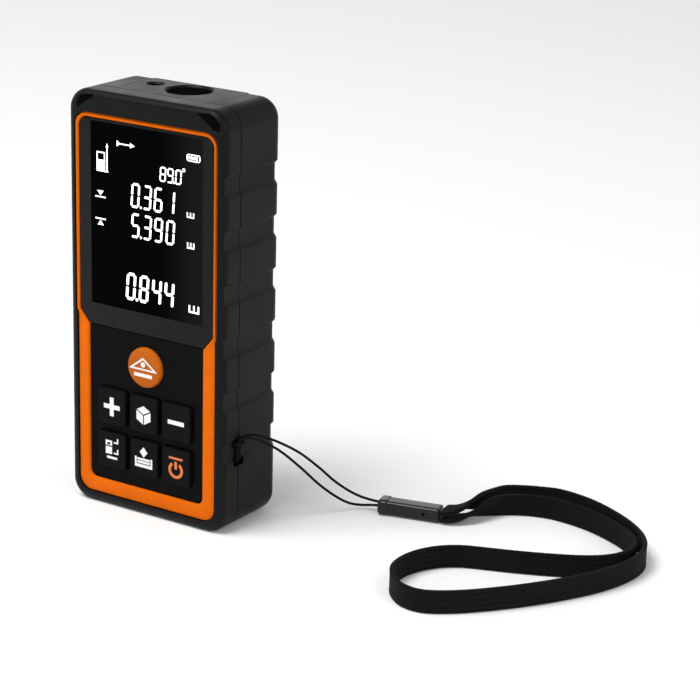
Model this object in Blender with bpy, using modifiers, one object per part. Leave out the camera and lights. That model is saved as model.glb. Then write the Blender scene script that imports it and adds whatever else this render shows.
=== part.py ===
"""Pocket laser distance meter with a wrist strap, modelled piece by piece.

All constants are millimetres. +X is to the right, the face with the keys looks towards -Y
and +Z is up. The origin is at the bottom centre of the housing.
"""
import math

import bmesh
import bpy
from mathutils import Matrix, Vector
from mathutils.geometry import interpolate_bezier

MM = 0.001
GAP = 0.3                # clearance between neighbouring pieces
WELD = 0.000001          # metres

# Housing
WIDTH = 50.0
DEPTH = 25.0
HEIGHT = 112.0
FRONT = -DEPTH / 2
BACK = DEPTH / 2
PARTING = -5.5           # plane between the two shells
CORNER = 5.5             # rounding of the outline seen from the front
FRONT_RIM = 2.2
BACK_RIM = 3.0
SIDE_WALL = 2.6
FLOOR_WALL = 2.2
TOP_WALL = 2.4
CAVITY_HALF = WIDTH / 2 - SIDE_WALL
CAVITY_TOP = HEIGHT - TOP_WALL

# Grip grooves down both sides
GROOVES = 6
GROOVE_TOP = 95.8
GROOVE_PITCH = 14.16
GROOVE_HEIGHT = 5.9
GROOVE_DEPTH = 0.5
GROOVE_START = -11.3     # y where a groove begins, near the front
GROOVE_WRAP = 18.0       # |x| where a groove ends, on the back

# Front fascia
FRAME_HALF = 22.7
FRAME_TOP = 106.2
FRAME_BOTTOM = 3.0
FRAME_CORNER = 3.8
LINE = 1.1               # width of the frame round the display
JOG = 0.4                # step inwards of the frame's outer edge below the shoulder
BAND = 4.15              # width of the frame round the keys
SHOULDER = 53.3          # z where the thin line starts to widen
WAIST = 49.7             # z where the band has its full width
FRAME_BACK = -9.9
LEDGE_FRONT = FRAME_BACK + GAP
LEDGE_BACK = -8.4
LEDGE_HALF = 19.4
WINDOW_FRONT = -12.2
WINDOW_BACK = -11.0
PANEL_FRONT = -11.9
PANEL_BACK = -10.8

# Keys
KEY_WIDTH = 8.9
KEY_HEIGHT = 9.8
KEY_COLUMN = 10.55
KEY_ROWS = (28.4, 16.2)
KEY_FRONT = -13.1
KEY_LIP = 0.5
READ_Z = 41.2
READ_RADIUS = 5.4
READ_FRONT = -13.3
STEM_TIP = -9.0

# Circuit board and display
BOARD_FRONT = -7.3
BOARD_BACK = -5.7
BOARD_HALF = 21.6
LCD_HALF = 18.7
LCD_BOTTOM = 54.6
LCD_TOP = 103.4

# Optics, looking out of the top
RECEIVER_X = 1.7
RECEIVER_Y = 3.9
RECEIVER_BORE = 5.9
RECEIVER_MOUTH = 6.6
LASER_X = -10.0
LASER_Y = 5.0
LASER_BORE = 3.3
LASER_MOUTH = 2.6
PLATE_LEFT = -15.0
PLATE_RIGHT = 16.0
PLATE_FRONT = -3.4
PLATE_BACK = 11.0

# Batteries and their cover
CELL_RADIUS = 5.1
CELL_LENGTH = 43.6
CELL_X = 6.0
CELL_Y = 4.9
TRAY_HALF = 13.2
TRAY_BOTTOM = 7.0
TRAY_TOP = 60.4
TRAY_WALL = 1.2
COVER_HALF = 15.7
COVER_BOTTOM = 4.8
COVER_TOP = 62.7
COVER_THICKNESS = 1.2

# Housing screws
SCREW_X = 20.6
SCREW_ROWS = (10.0, 51.2)
SCREW_SHANK = 0.95
SCREW_HEAD = 1.9

# Lanyard eye: two slots across the parting line, with a bar between them
EYE_FRONT = -7.6
EYE_BACK = -3.0
EYE_UPPER = (22.9, 25.3)
EYE_LOWER = (17.7, 20.1)

# Wrist strap
CORD_RADIUS = 0.36
WEB_WIDTH = 6.0
WEB_THICKNESS = 1.2
SLIDER_START = Vector((48.6, 27.0, 0))
SLIDER_END = Vector((65.2, 31.0, 0))
SLIDER_WIDTH = 5.6
SLIDER_HEIGHT = 4.2
SLIDER_LIFT = 0.1

PARTS = None
CUTTERS = None
MATERIALS = {}


# ---------------------------------------------------------------- scene and materials

def start_scene():
    global PARTS, CUTTERS
    for obj in list(bpy.data.objects):
        bpy.data.objects.remove(obj, do_unlink=True)
    PARTS = bpy.data.collections.new("laser_distance_meter")
    CUTTERS = bpy.data.collections.new("cutters")
    bpy.context.scene.collection.children.link(PARTS)
    bpy.context.scene.collection.children.link(CUTTERS)


def material(name, colour, roughness, metallic=0.0):
    made = bpy.data.materials.new(name)
    made.use_nodes = True
    shader = made.node_tree.nodes["Principled BSDF"]
    shader.inputs["Base Color"].default_value = (*colour, 1.0)
    shader.inputs["Roughness"].default_value = roughness
    shader.inputs["Metallic"].default_value = metallic
    made.diffuse_color = (*colour, 1.0)
    MATERIALS[name] = made


def make_materials():
    material("housing", (0.022, 0.022, 0.023), 0.55)
    material("orange", (0.80, 0.15, 0.008), 0.45)
    material("fascia", (0.012, 0.012, 0.013), 0.45)
    material("window", (0.004, 0.004, 0.005), 0.06)
    material("keys", (0.014, 0.014, 0.015), 0.55)
    material("lcd", (0.01, 0.012, 0.016), 0.15)
    material("light guide", (0.85, 0.86, 0.84), 0.5)
    material("flex", (0.55, 0.22, 0.05), 0.5)
    material("board", (0.01, 0.12, 0.05), 0.5)
    material("chip", (0.015, 0.015, 0.016), 0.5)
    material("steel", (0.55, 0.55, 0.56), 0.32, 1.0)
    material("brass", (0.62, 0.45, 0.16), 0.35, 1.0)
    material("lens", (0.30, 0.26, 0.16), 0.05)
    material("inner plastic", (0.03, 0.03, 0.032), 0.6)
    material("cell", (0.10, 0.16, 0.30), 0.35, 0.4)
    material("cord", (0.012, 0.012, 0.012), 0.75)
    material("webbing", (0.010, 0.010, 0.011), 0.85)
    material("clasp", (0.02, 0.02, 0.021), 0.2)


# ---------------------------------------------------------------- making and joining

def add(name, mesh, look=None):
    """Object for a mesh: a visible part with a material, or a cutter without one."""
    obj = bpy.data.objects.new(name, mesh)
    if look:
        PARTS.objects.link(obj)
        mesh.materials.clear()
        mesh.materials.append(MATERIALS[look])
    else:
        CUTTERS.objects.link(obj)
        obj.hide_render = True
        obj.display_type = "WIRE"
    return obj


def finish_mesh(name, bm):
    mesh = bpy.data.meshes.new(name)
    bm.to_mesh(mesh)
    bm.free()
    mesh.shade_smooth()
    mesh.set_sharp_from_angle(angle=math.radians(35))
    return mesh


def bevel_edges(bm, wanted, width, steps):
    edges = [edge for edge in bm.edges if wanted(edge)]
    bmesh.ops.bevel(bm, geom=edges, offset=width * MM, offset_type="OFFSET",
                    segments=steps, profile=0.5, affect="EDGES", clamp_overlap=True)


def block(name, low, high, look=None, axis=1, corner=0.0, steps=3, rims=()):
    """Box whose four edges along an axis may be rounded, then its rims at the axis' ends."""
    low = Vector(low)
    high = Vector(high)
    bm = bmesh.new()
    size = (high - low) * MM
    placed = Matrix.Translation((low + high) / 2 * MM) @ Matrix.Diagonal((*size, 1.0))
    bmesh.ops.create_cube(bm, size=1.0, matrix=placed)
    if corner:
        def along(edge):
            span = edge.verts[0].co - edge.verts[1].co
            return abs(abs(span[axis]) - size[axis]) < WELD
        bevel_edges(bm, along, corner, steps)
    for level, width in rims:
        def on_rim(edge):
            return all(abs(vert.co[axis] - level * MM) < WELD for vert in edge.verts)
        bevel_edges(bm, on_rim, width, steps)
    return add(name, finish_mesh(name, bm), look)


def rod(name, start, end, radius, look=None, end_radius=None, sides=32):
    """Round bar or cone between two points."""
    start = Vector(start) * MM
    end = Vector(end) * MM
    way = end - start
    turn = way.to_track_quat("Z", "Y").to_matrix().to_4x4()
    bm = bmesh.new()
    top = radius if end_radius is None else end_radius
    bmesh.ops.create_cone(bm, cap_ends=True, segments=sides, radius1=radius * MM,
                          radius2=top * MM, depth=way.length,
                          matrix=Matrix.Translation((start + end) / 2) @ turn)
    return add(name, finish_mesh(name, bm), look)


def turned(name, profile, look, place, facing="Z", steps=24):
    """Turned piece: (radius, height) pairs from the top down, about its own axis."""
    mesh = bpy.data.meshes.new(name)
    points = [(radius * MM, 0.0, height * MM) for radius, height in profile]
    mesh.from_pydata(points, [(i, i + 1) for i in range(len(points) - 1)], [])
    obj = add(name, mesh, look)
    obj.location = Vector(place) * MM
    if facing == "-Y":
        obj.rotation_euler = (math.radians(90), 0.0, 0.0)
    elif facing == "Y":
        obj.rotation_euler = (math.radians(-90), 0.0, 0.0)
    screw = obj.modifiers.new("Turn", "SCREW")
    screw.steps = steps
    screw.render_steps = steps
    screw.use_merge_vertices = True
    screw.merge_threshold = 0.00001
    screw.use_smooth_shade = True
    return obj


def meshed(obj):
    """Closed mesh of a curve object, in world space, with its caps welded."""
    bpy.context.view_layer.update()
    evaluated = obj.evaluated_get(bpy.context.evaluated_depsgraph_get())
    raw = bpy.data.meshes.new_from_object(evaluated)
    bm = bmesh.new()
    bm.from_mesh(raw)
    bm.transform(obj.matrix_world)
    bmesh.ops.remove_doubles(bm, verts=bm.verts, dist=WELD)
    bmesh.ops.recalc_face_normals(bm, faces=bm.faces)
    bpy.data.meshes.remove(raw)
    name = obj.name
    bpy.data.objects.remove(obj, do_unlink=True)
    return finish_mesh(name, bm)


def plate(name, outlines, near, far, look=None, axis="Y"):
    """Flat piece between two planes: closed outlines, the inner ones are holes."""
    curve = bpy.data.curves.new(name, "CURVE")
    curve.dimensions = "2D"
    curve.fill_mode = "BOTH"
    curve.extrude = (far - near) / 2 * MM
    for outline in outlines:
        spline = curve.splines.new("POLY")
        spline.points.add(len(outline) - 1)
        for point, (across, up) in zip(spline.points, outline):
            point.co = (across * MM, up * MM, 0.0, 1.0)
        spline.use_cyclic_u = True
    obj = bpy.data.objects.new(name, curve)
    PARTS.objects.link(obj)
    middle = (near + far) / 2 * MM
    if axis == "Y":
        obj.rotation_euler = (math.radians(90), 0.0, 0.0)
        obj.location = (0.0, middle, 0.0)
    else:
        obj.location = (0.0, 0.0, middle)
    return add(name, meshed(obj), look)


def cut(target, cutter, operation="DIFFERENCE"):
    modifier = target.modifiers.new(cutter.name, "BOOLEAN")
    modifier.operation = operation
    modifier.solver = "EXACT"
    modifier.object = cutter


# ---------------------------------------------------------------- outlines

def rounded(corners, steps=5):
    """Closed outline through (x, y, radius) corners, each turned into an arc."""
    outline = []
    count = len(corners)
    for index, (x, y, radius) in enumerate(corners):
        corner = Vector((x, y))
        if radius == 0:
            outline.append((x, y))
            continue
        before = (Vector(corners[index - 1][:2]) - corner).normalized()
        after = (Vector(corners[(index + 1) % count][:2]) - corner).normalized()
        half = before.angle(after) / 2
        centre = corner + (before + after).normalized() * radius / math.sin(half)
        start = corner + before * radius / math.tan(half) - centre
        sweep = start.angle_signed(corner + after * radius / math.tan(half) - centre)
        for step in range(steps + 1):
            turn = -sweep * step / steps
            outline.append((centre.x + start.x * math.cos(turn) - start.y * math.sin(turn),
                            centre.y + start.x * math.sin(turn) + start.y * math.cos(turn)))
    return outline


def rectangle(half, bottom, top, radius, middle=0.0):
    return rounded([(middle - half, bottom, radius), (middle + half, bottom, radius),
                    (middle + half, top, radius), (middle - half, top, radius)])


def circle(x, y, radius, steps=32):
    return [(x + radius * math.cos(math.tau * step / steps),
             y + radius * math.sin(math.tau * step / steps)) for step in range(steps)]


def frame_outline(grow):
    """Outer edge of the orange frame, with a small step inwards at the shoulder."""
    wide = FRAME_HALF + grow
    narrow = wide - JOG
    bottom = FRAME_BOTTOM - grow
    top = FRAME_TOP + grow
    corner = FRAME_CORNER + grow
    return rounded([(-narrow, bottom, corner), (narrow, bottom, corner),
                    (narrow, SHOULDER - 1.2, 0), (wide, SHOULDER, 0), (wide, top, corner),
                    (-wide, top, corner), (-wide, SHOULDER, 0), (-narrow, SHOULDER - 1.2, 0)])


def fascia_corners(inset):
    """Inner edge of the orange frame, moved inwards by the inset."""
    wide = FRAME_HALF - LINE - inset
    narrow = FRAME_HALF - BAND - inset
    bottom = FRAME_BOTTOM + BAND + inset
    top = FRAME_TOP - LINE - inset
    return wide, narrow, bottom, top


# ---------------------------------------------------------------- housing

def groove_cutters():
    """One cutter for each pair of grooves: they run down the sides and round the back edge."""
    inner = WIDTH / 2 - GROOVE_DEPTH
    rear = BACK - GROOVE_DEPTH
    outside = WIDTH / 2 + 2
    right = rounded([(inner, GROOVE_START, 0), (outside, GROOVE_START - 1.5, 0),
                     (outside, BACK + 2, 0), (GROOVE_WRAP - 1, BACK + 2, 0),
                     (GROOVE_WRAP - 1, BACK, 0), (GROOVE_WRAP, rear, 0),
                     (inner, rear, BACK_RIM)])
    left = [(-x, y) for x, y in reversed(right)]
    made = []
    for index in range(GROOVES):
        top = GROOVE_TOP - index * GROOVE_PITCH
        made.append(plate(f"groove_cutter_{index + 1}", [right, left],
                          top - GROOVE_HEIGHT, top, axis="Z"))
    return made


def eye_cutters():
    made = []
    for name, (bottom, top) in (("upper", EYE_UPPER), ("lower", EYE_LOWER)):
        made.append(block(f"eye_cutter_{name}", (WIDTH / 2 - 4, EYE_FRONT, bottom),
                          (WIDTH / 2 + 2, EYE_BACK, top), axis=0, corner=0.9))
    made.append(block("eye_relief_cutter", (WIDTH / 2 - 5, EYE_FRONT - 0.5, 16),
                      (WIDTH / 2 - 2.1, EYE_BACK + 0.5, 27)))
    return made


def front_shell(grooves, eyes):
    shell = block("front_shell", (-WIDTH / 2, FRONT, 0), (WIDTH / 2, PARTING - GAP / 2, HEIGHT),
                  "housing", corner=CORNER, steps=5, rims=[(FRONT, FRONT_RIM)])
    pocket = plate("frame_pocket_cutter", [frame_outline(GAP)], FRONT - 2, LEDGE_FRONT)
    through = block("display_opening_cutter", (-LEDGE_HALF, FRONT, 6), (LEDGE_HALF, -5, 104),
                    corner=1.5)
    cavity = block("front_cavity_cutter", (-CAVITY_HALF - 0.3, LEDGE_BACK, FLOOR_WALL),
                   (CAVITY_HALF + 0.3, -4, CAVITY_TOP), corner=3.0)
    for cutter in (pocket, through, cavity, *grooves, *eyes):
        cut(shell, cutter)
    for row, z in enumerate(SCREW_ROWS):
        for side in (-1, 1):
            x = side * SCREW_X
            label = f"{row}_{'left' if side < 0 else 'right'}"
            cut(shell, rod(f"front_boss_{label}", (x, LEDGE_BACK - 0.5, z),
                           (x, BOARD_FRONT - GAP, z), 2.1), "UNION")
            cut(shell, rod(f"front_boss_hole_{label}", (x, -9.3, z), (x, -6, z),
                           SCREW_SHANK + GAP, sides=16))
    for side in (-1, 1):
        low = min(side * 8, side * 14)
        high = max(side * 8, side * 14)
        label = "left" if side < 0 else "right"
        cut(shell, block(f"hook_root_{label}", (low, -7.4, 108.0), (high, -5.7, 110.4)), "UNION")
        cut(shell, block(f"hook_tip_{label}", (low, -6.0, 108.0), (high, -3.9, 109.3)), "UNION")


def back_shell(grooves, eyes):
    shell = block("back_shell", (-WIDTH / 2, PARTING + GAP / 2, 0), (WIDTH / 2, BACK, HEIGHT),
                  "housing", corner=CORNER, steps=5, rims=[(BACK, BACK_RIM)])
    lower = block("lower_cavity_cutter", (-CAVITY_HALF, -7, FLOOR_WALL),
                  (CAVITY_HALF, 9.9, 66), corner=3.0)
    upper = block("upper_cavity_cutter", (-CAVITY_HALF, -7, 60),
                  (CAVITY_HALF, 10.7, CAVITY_TOP), corner=3.0)
    cut(shell, lower)
    cut(shell, upper)
    for row, z in enumerate(SCREW_ROWS):
        for side in (-1, 1):
            x = side * SCREW_X
            label = f"{row}_{'left' if side < 0 else 'right'}"
            cut(shell, rod(f"back_boss_{label}", (x, PARTING + GAP / 2, z), (x, 11, z), 3.2),
                "UNION")
            cut(shell, rod(f"screw_hole_{label}", (x, -7, z), (x, 8, z),
                           SCREW_SHANK + GAP, sides=16))
            cut(shell, rod(f"screw_bore_{label}", (x, 4.1, z), (x, 14, z),
                           SCREW_HEAD + GAP, sides=24))
    opening = block("battery_opening_cutter", (-TRAY_HALF - 1, 8, TRAY_BOTTOM - 1),
                    (TRAY_HALF + 1, 14, TRAY_TOP + 1), corner=1.5)
    recess = block("cover_recess_cutter", (-COVER_HALF - GAP, BACK - COVER_THICKNESS - GAP,
                                           COVER_BOTTOM - GAP),
                   (COVER_HALF + GAP, 14, COVER_TOP + GAP), corner=2.3)
    scoop = rod("finger_scoop_cutter", (0, 15.2, COVER_TOP - 1.5), (0, 15.2, COVER_TOP + 3.6), 4.2)
    plate_hole = plate("plate_hole_cutter",
                       [rounded([(PLATE_LEFT - GAP, PLATE_FRONT - GAP, 1.5),
                                 (PLATE_RIGHT + GAP, PLATE_FRONT - GAP, 1.5),
                                 (PLATE_RIGHT + GAP, PLATE_BACK + GAP, 1.5),
                                 (PLATE_LEFT - GAP, PLATE_BACK + GAP, 1.5)])],
                       CAVITY_TOP - 1, HEIGHT + 2, axis="Z")
    for cutter in (opening, recess, scoop, plate_hole, *grooves, *eyes):
        cut(shell, cutter)


def orange_frame():
    wide, narrow, bottom, top = fascia_corners(0.0)
    inner = rounded([(-narrow, bottom, 2.0), (narrow, bottom, 2.0), (narrow, WAIST, 0.8),
                     (wide, SHOULDER, 0.8), (wide, top, 2.8), (-wide, top, 2.8),
                     (-wide, SHOULDER, 0.8), (-narrow, WAIST, 0.8)])
    plate("orange_frame", [frame_outline(0.0), inner], FRONT, FRAME_BACK, "orange")


def display_window():
    wide, narrow, _, top = fascia_corners(GAP)
    bottom = WAIST + GAP
    outline = rounded([(-narrow - 0.2, bottom, 0.4), (narrow + 0.2, bottom, 0.4),
                       (wide, SHOULDER + 0.2, 0.6), (wide, top, 2.5), (-wide, top, 2.5),
                       (-wide, SHOULDER + 0.2, 0.6)])
    plate("display_window", [outline], WINDOW_FRONT, WINDOW_BACK, "window")


def keypad_panel():
    _, narrow, bottom, _ = fascia_corners(GAP)
    outlines = [rounded([(-narrow, bottom, 1.7), (narrow, bottom, 1.7), (narrow, WAIST, 0.4),
                         (-narrow, WAIST, 0.4)]),
                circle(0, READ_Z, READ_RADIUS + GAP)]
    for row in KEY_ROWS:
        for column in (-1, 0, 1):
            outlines.append(rectangle(KEY_WIDTH / 2 + GAP, row - KEY_HEIGHT / 2 - GAP,
                                      row + KEY_HEIGHT / 2 + GAP, 1.3, column * KEY_COLUMN))
    plate("keypad_panel", outlines, PANEL_FRONT, PANEL_BACK, "fascia")


def aperture_plate():
    outline = rounded([(PLATE_LEFT, PLATE_FRONT, 1.2), (PLATE_RIGHT, PLATE_FRONT, 1.2),
                       (PLATE_RIGHT, PLATE_BACK, 1.2), (PLATE_LEFT, PLATE_BACK, 1.2)])
    insert = plate("aperture_plate", [outline], CAVITY_TOP, HEIGHT, "housing", axis="Z")
    for name, x, y, mouth in (("receiver", RECEIVER_X, RECEIVER_Y, RECEIVER_MOUTH),
                              ("laser", LASER_X, LASER_Y, LASER_MOUTH)):
        cut(insert, rod(f"{name}_mouth_cutter", (x, y, CAVITY_TOP - 1), (x, y, HEIGHT + 0.5),
                        mouth - 0.9, end_radius=mouth + 0.1, sides=48))


# ---------------------------------------------------------------- keys

def key(name, column, row):
    """Square key: cap, retaining lip behind the panel and a stem that reaches for its dome."""
    x = column * KEY_COLUMN
    cap = block(name, (x - KEY_WIDTH / 2, KEY_FRONT, row - KEY_HEIGHT / 2),
                (x + KEY_WIDTH / 2, PANEL_BACK + GAP, row + KEY_HEIGHT / 2), "keys",
                corner=1.0, rims=[(KEY_FRONT, 0.25)])
    lip = block(f"{name}_lip", (x - KEY_WIDTH / 2 - KEY_LIP, PANEL_BACK + GAP,
                                row - KEY_HEIGHT / 2 - KEY_LIP),
                (x + KEY_WIDTH / 2 + KEY_LIP, PANEL_BACK + GAP + 0.8,
                 row + KEY_HEIGHT / 2 + KEY_LIP), corner=1.3)
    stem = rod(f"{name}_stem", (x, PANEL_BACK + GAP + 0.4, row), (x, STEM_TIP, row), 1.5, sides=20)
    cut(cap, lip, "UNION")
    cut(cap, stem, "UNION")


def keys():
    names = (("key_plus", "key_cube", "key_minus"), ("key_unit", "key_level", "key_power"))
    for row, row_names in zip(KEY_ROWS, names):
        for column, name in zip((-1, 0, 1), row_names):
            key(name, column, row)
    lip_front = PANEL_BACK + GAP
    profile = [(0, -READ_FRONT), (READ_RADIUS - 1.2, -READ_FRONT - 0.05),
               (READ_RADIUS - 0.4, -READ_FRONT - 0.2), (READ_RADIUS, -READ_FRONT - 0.6),
               (READ_RADIUS, -lip_front), (READ_RADIUS + 0.6, -lip_front),
               (READ_RADIUS + 0.6, -lip_front - 0.8), (1.5, -lip_front - 0.8),
               (1.5, -STEM_TIP), (0, -STEM_TIP)]
    turned("read_button", profile, "orange", (0, 0, READ_Z), facing="-Y", steps=40)


def domes():
    """Snap domes of the switches, on the board under each stem."""
    places = [("dome_read", 0, READ_Z)]
    for row, row_names in zip(KEY_ROWS, (("plus", "cube", "minus"), ("unit", "level", "power"))):
        for column, name in zip((-1, 0, 1), row_names):
            places.append((f"dome_{name}", column * KEY_COLUMN, row))
    base = BOARD_FRONT - GAP
    for name, x, z in places:
        turned(name, [(0, -base + 0.5), (1.6, -base + 0.42), (2.6, -base), (0, -base)], "steel",
               (x, 0, z), facing="-Y", steps=16)


# ---------------------------------------------------------------- electronics

def display_stack():
    block("lcd_panel", (-LCD_HALF, WINDOW_BACK + GAP, LCD_BOTTOM), (LCD_HALF, -8.9, LCD_TOP),
          "lcd")
    block("lcd_backlight", (-LCD_HALF, -8.6, LCD_BOTTOM), (LCD_HALF, -7.6, LCD_TOP),
          "light guide")
    fold = rounded([(-9.6, LCD_BOTTOM - GAP, 0), (-9.6, 51.6, 0.6), (-7.6, 51.6, 0),
                    (-7.6, 51.9, 0), (-9.3, 51.9, 0.3), (-9.3, LCD_BOTTOM - GAP, 0)])
    tail = plate("display_flex", [fold], -6.0, 6.0, "flex", axis="Z")
    turn = Matrix(((0, 0, 1, 0), (1, 0, 0, 0), (0, 1, 0, 0), (0, 0, 0, 1)))
    tail.data.transform(turn)


def main_board():
    board = block("main_pcb", (-BOARD_HALF, BOARD_FRONT, 6), (BOARD_HALF, BOARD_BACK, 105),
                  "board", corner=1.5)
    for row, z in enumerate(SCREW_ROWS):
        for side in (-1, 1):
            cut(board, rod(f"board_notch_{row}_{side + 1}", (side * (SCREW_X + 0.2), -9, z),
                           (side * (SCREW_X + 0.2), -4, z), SCREW_SHANK + 0.6, sides=16))
    cut(board, block("cord_clearance_cutter", (19.8, -9, 15.5), (23, -4, 27.5)))
    behind = BOARD_BACK + GAP
    block("processor", (-5, behind, 67), (5, behind + 1.2, 77), "chip", corner=0.3)
    block("memory_chip", (9, behind, 70), (15, behind + 1.0, 75), "chip", corner=0.2)
    block("tilt_sensor", (10, behind, 63.5), (14, behind + 1.0, 67.5), "chip", corner=0.2)
    turned("buzzer", [(0, 2.4), (0.7, 2.4), (0.7, 2.7), (4.4, 2.7), (4.8, 2.3), (4.8, 0), (0, 0)],
           "chip", (-12, behind, 70), facing="Y")


def optics():
    """Receiver and laser side by side in one block, looking up through the aperture plate."""
    block_top = CAVITY_TOP - GAP
    body = block("optics_block", (-14.6, -3.3, 85.7), (15.6, 10.4, block_top), "inner plastic",
                 axis=2, corner=1.5)
    cut(body, rod("receiver_bore_cutter", (RECEIVER_X, RECEIVER_Y, 80),
                  (RECEIVER_X, RECEIVER_Y, 115), RECEIVER_BORE, sides=40))
    cut(body, rod("laser_bore_cutter", (LASER_X, LASER_Y, 80), (LASER_X, LASER_Y, 115),
                  LASER_BORE, sides=28))
    lens_radius = RECEIVER_BORE - GAP
    dome = [(lens_radius * math.sin(math.radians(angle)) / math.sin(math.radians(30)),
             1.9 - 1.2 * (1 - math.cos(math.radians(angle))) / (1 - math.cos(math.radians(30))))
            for angle in range(0, 31, 6)]
    turned("receiver_lens", dome + [(lens_radius, 0), (0, 0)], "lens",
           (RECEIVER_X, RECEIVER_Y, 106.3), steps=40)
    ring = [(lens_radius - 0.9, 0), (lens_radius - 0.9, 1.2), (lens_radius, 1.2),
            (lens_radius, 0), (lens_radius - 0.9, 0)]
    turned("lens_retainer", ring, "steel", (RECEIVER_X, RECEIVER_Y, 104.8), steps=40)
    turned("laser_module", [(0, 14), (1.3, 14), (1.3, 15), (3, 15), (3, 4), (2.6, 3.4), (2.6, 0),
                            (0, 0)], "brass", (LASER_X, LASER_Y, 88))
    turned("collimator_lens", [(0, 1.4), (1.2, 1.2), (2.2, 0.8), (2.2, 0), (0, 0)], "lens",
           (LASER_X, LASER_Y, 103.4))
    turned("laser_window", [(0, 1.0), (2.9, 1.0), (2.9, 0), (0, 0)], "lens",
           (LASER_X, LASER_Y, 107.6))
    block("receiver_board", (-13, -2.8, 84.0), (14, 9.8, 85.4), "board", axis=2, corner=1.0)
    turned("photodiode", [(0, 2.2), (1.2, 2.0), (2.0, 1.4), (2.0, 0.5), (2.4, 0.5), (2.4, 0),
                          (0, 0)], "lens", (RECEIVER_X, RECEIVER_Y, 85.7))


# ---------------------------------------------------------------- batteries

def spring(name, x, bottom, top):
    """Coil spring that widens from the cell's end to the tray's wall."""
    turns = 3.5
    per_turn = 10
    wire = 0.25
    count = int(turns * per_turn)
    points = []
    for index in range(count + 1):
        share = index / count
        angle = math.tau * turns * share
        radius = 1.7 + 1.5 * share
        height = bottom + wire + (top - bottom - 2 * wire) * share
        points.append(Vector((x + radius * math.cos(angle), CELL_Y + radius * math.sin(angle),
                              height)))
    tube(name, points, wire, "steel", resolution=1)


def tube(name, points, radius, look, resolution=2):
    curve = bpy.data.curves.new(name, "CURVE")
    curve.dimensions = "3D"
    curve.bevel_depth = radius * MM
    curve.bevel_resolution = resolution
    curve.use_fill_caps = True
    spline = curve.splines.new("POLY")
    spline.points.add(len(points) - 1)
    for point, place in zip(spline.points, points):
        point.co = (*(place * MM), 1.0)
    obj = bpy.data.objects.new(name, curve)
    PARTS.objects.link(obj)
    curve.materials.append(MATERIALS[look])
    return obj


def batteries():
    tray = block("battery_tray", (-TRAY_HALF, CELL_Y - CELL_RADIUS - GAP - TRAY_WALL, TRAY_BOTTOM),
                 (TRAY_HALF, BACK - COVER_THICKNESS - GAP, TRAY_TOP), "inner plastic")
    cut(tray, block("tray_cutter", (-TRAY_HALF + TRAY_WALL, CELL_Y - CELL_RADIUS - GAP,
                                    TRAY_BOTTOM + TRAY_WALL),
                    (TRAY_HALF - TRAY_WALL, 14, TRAY_TOP - TRAY_WALL)))
    plate_low = TRAY_BOTTOM + TRAY_WALL + GAP
    plate_high = TRAY_TOP - TRAY_WALL - GAP
    leaf = 0.4
    inside_low = plate_low + leaf + GAP
    inside_high = plate_high - leaf - GAP
    block("contact_bridge", (-10.5, 0.6, plate_low), (10.5, 9.4, plate_low + leaf), "steel",
          axis=2, corner=0.8)
    for name, x in (("contact_positive", -CELL_X), ("contact_negative", CELL_X)):
        block(name, (x - 4.6, 0.6, plate_high - leaf), (x + 4.6, 9.4, plate_high), "steel",
              axis=2, corner=0.8)
    nub = 0.9
    cell = [(0, CELL_LENGTH + nub), (1.9, CELL_LENGTH + nub), (1.9, CELL_LENGTH),
            (CELL_RADIUS - 0.5, CELL_LENGTH), (CELL_RADIUS, CELL_LENGTH - 0.5),
            (CELL_RADIUS, 0.4), (CELL_RADIUS - 0.4, 0), (0, 0)]
    turned("battery_1", cell, "cell", (-CELL_X, CELL_Y, inside_high - CELL_LENGTH - nub))
    second = turned("battery_2", cell, "cell", (CELL_X, CELL_Y, inside_low + CELL_LENGTH + nub))
    second.rotation_euler = (math.radians(180), 0.0, 0.0)
    spring("contact_spring_1", -CELL_X, inside_low, inside_high - CELL_LENGTH - nub - GAP)
    spring("contact_spring_2", CELL_X, inside_low + CELL_LENGTH + nub + GAP, inside_high)
    block("battery_cover", (-COVER_HALF, BACK - COVER_THICKNESS, COVER_BOTTOM),
          (COVER_HALF, BACK, COVER_TOP), "housing", corner=2.0, rims=[(BACK, 0.3)])


def screws():
    profile = [(0, -0.9), (0.8, -0.9), (0.8, 0), (SCREW_HEAD - 0.3, 0), (SCREW_HEAD, -0.3),
               (SCREW_HEAD, -1.6), (SCREW_SHANK, -1.6), (SCREW_SHANK, -14.4), (0.4, -15.0),
               (0, -15.0)]
    for row, z in enumerate(SCREW_ROWS):
        for side in (-1, 1):
            name = f"screw_{'lower' if row == 0 else 'upper'}_{'left' if side < 0 else 'right'}"
            turned(name, profile, "steel", (side * SCREW_X, 6.0, z), facing="Y", steps=16)


# ---------------------------------------------------------------- wrist strap

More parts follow.
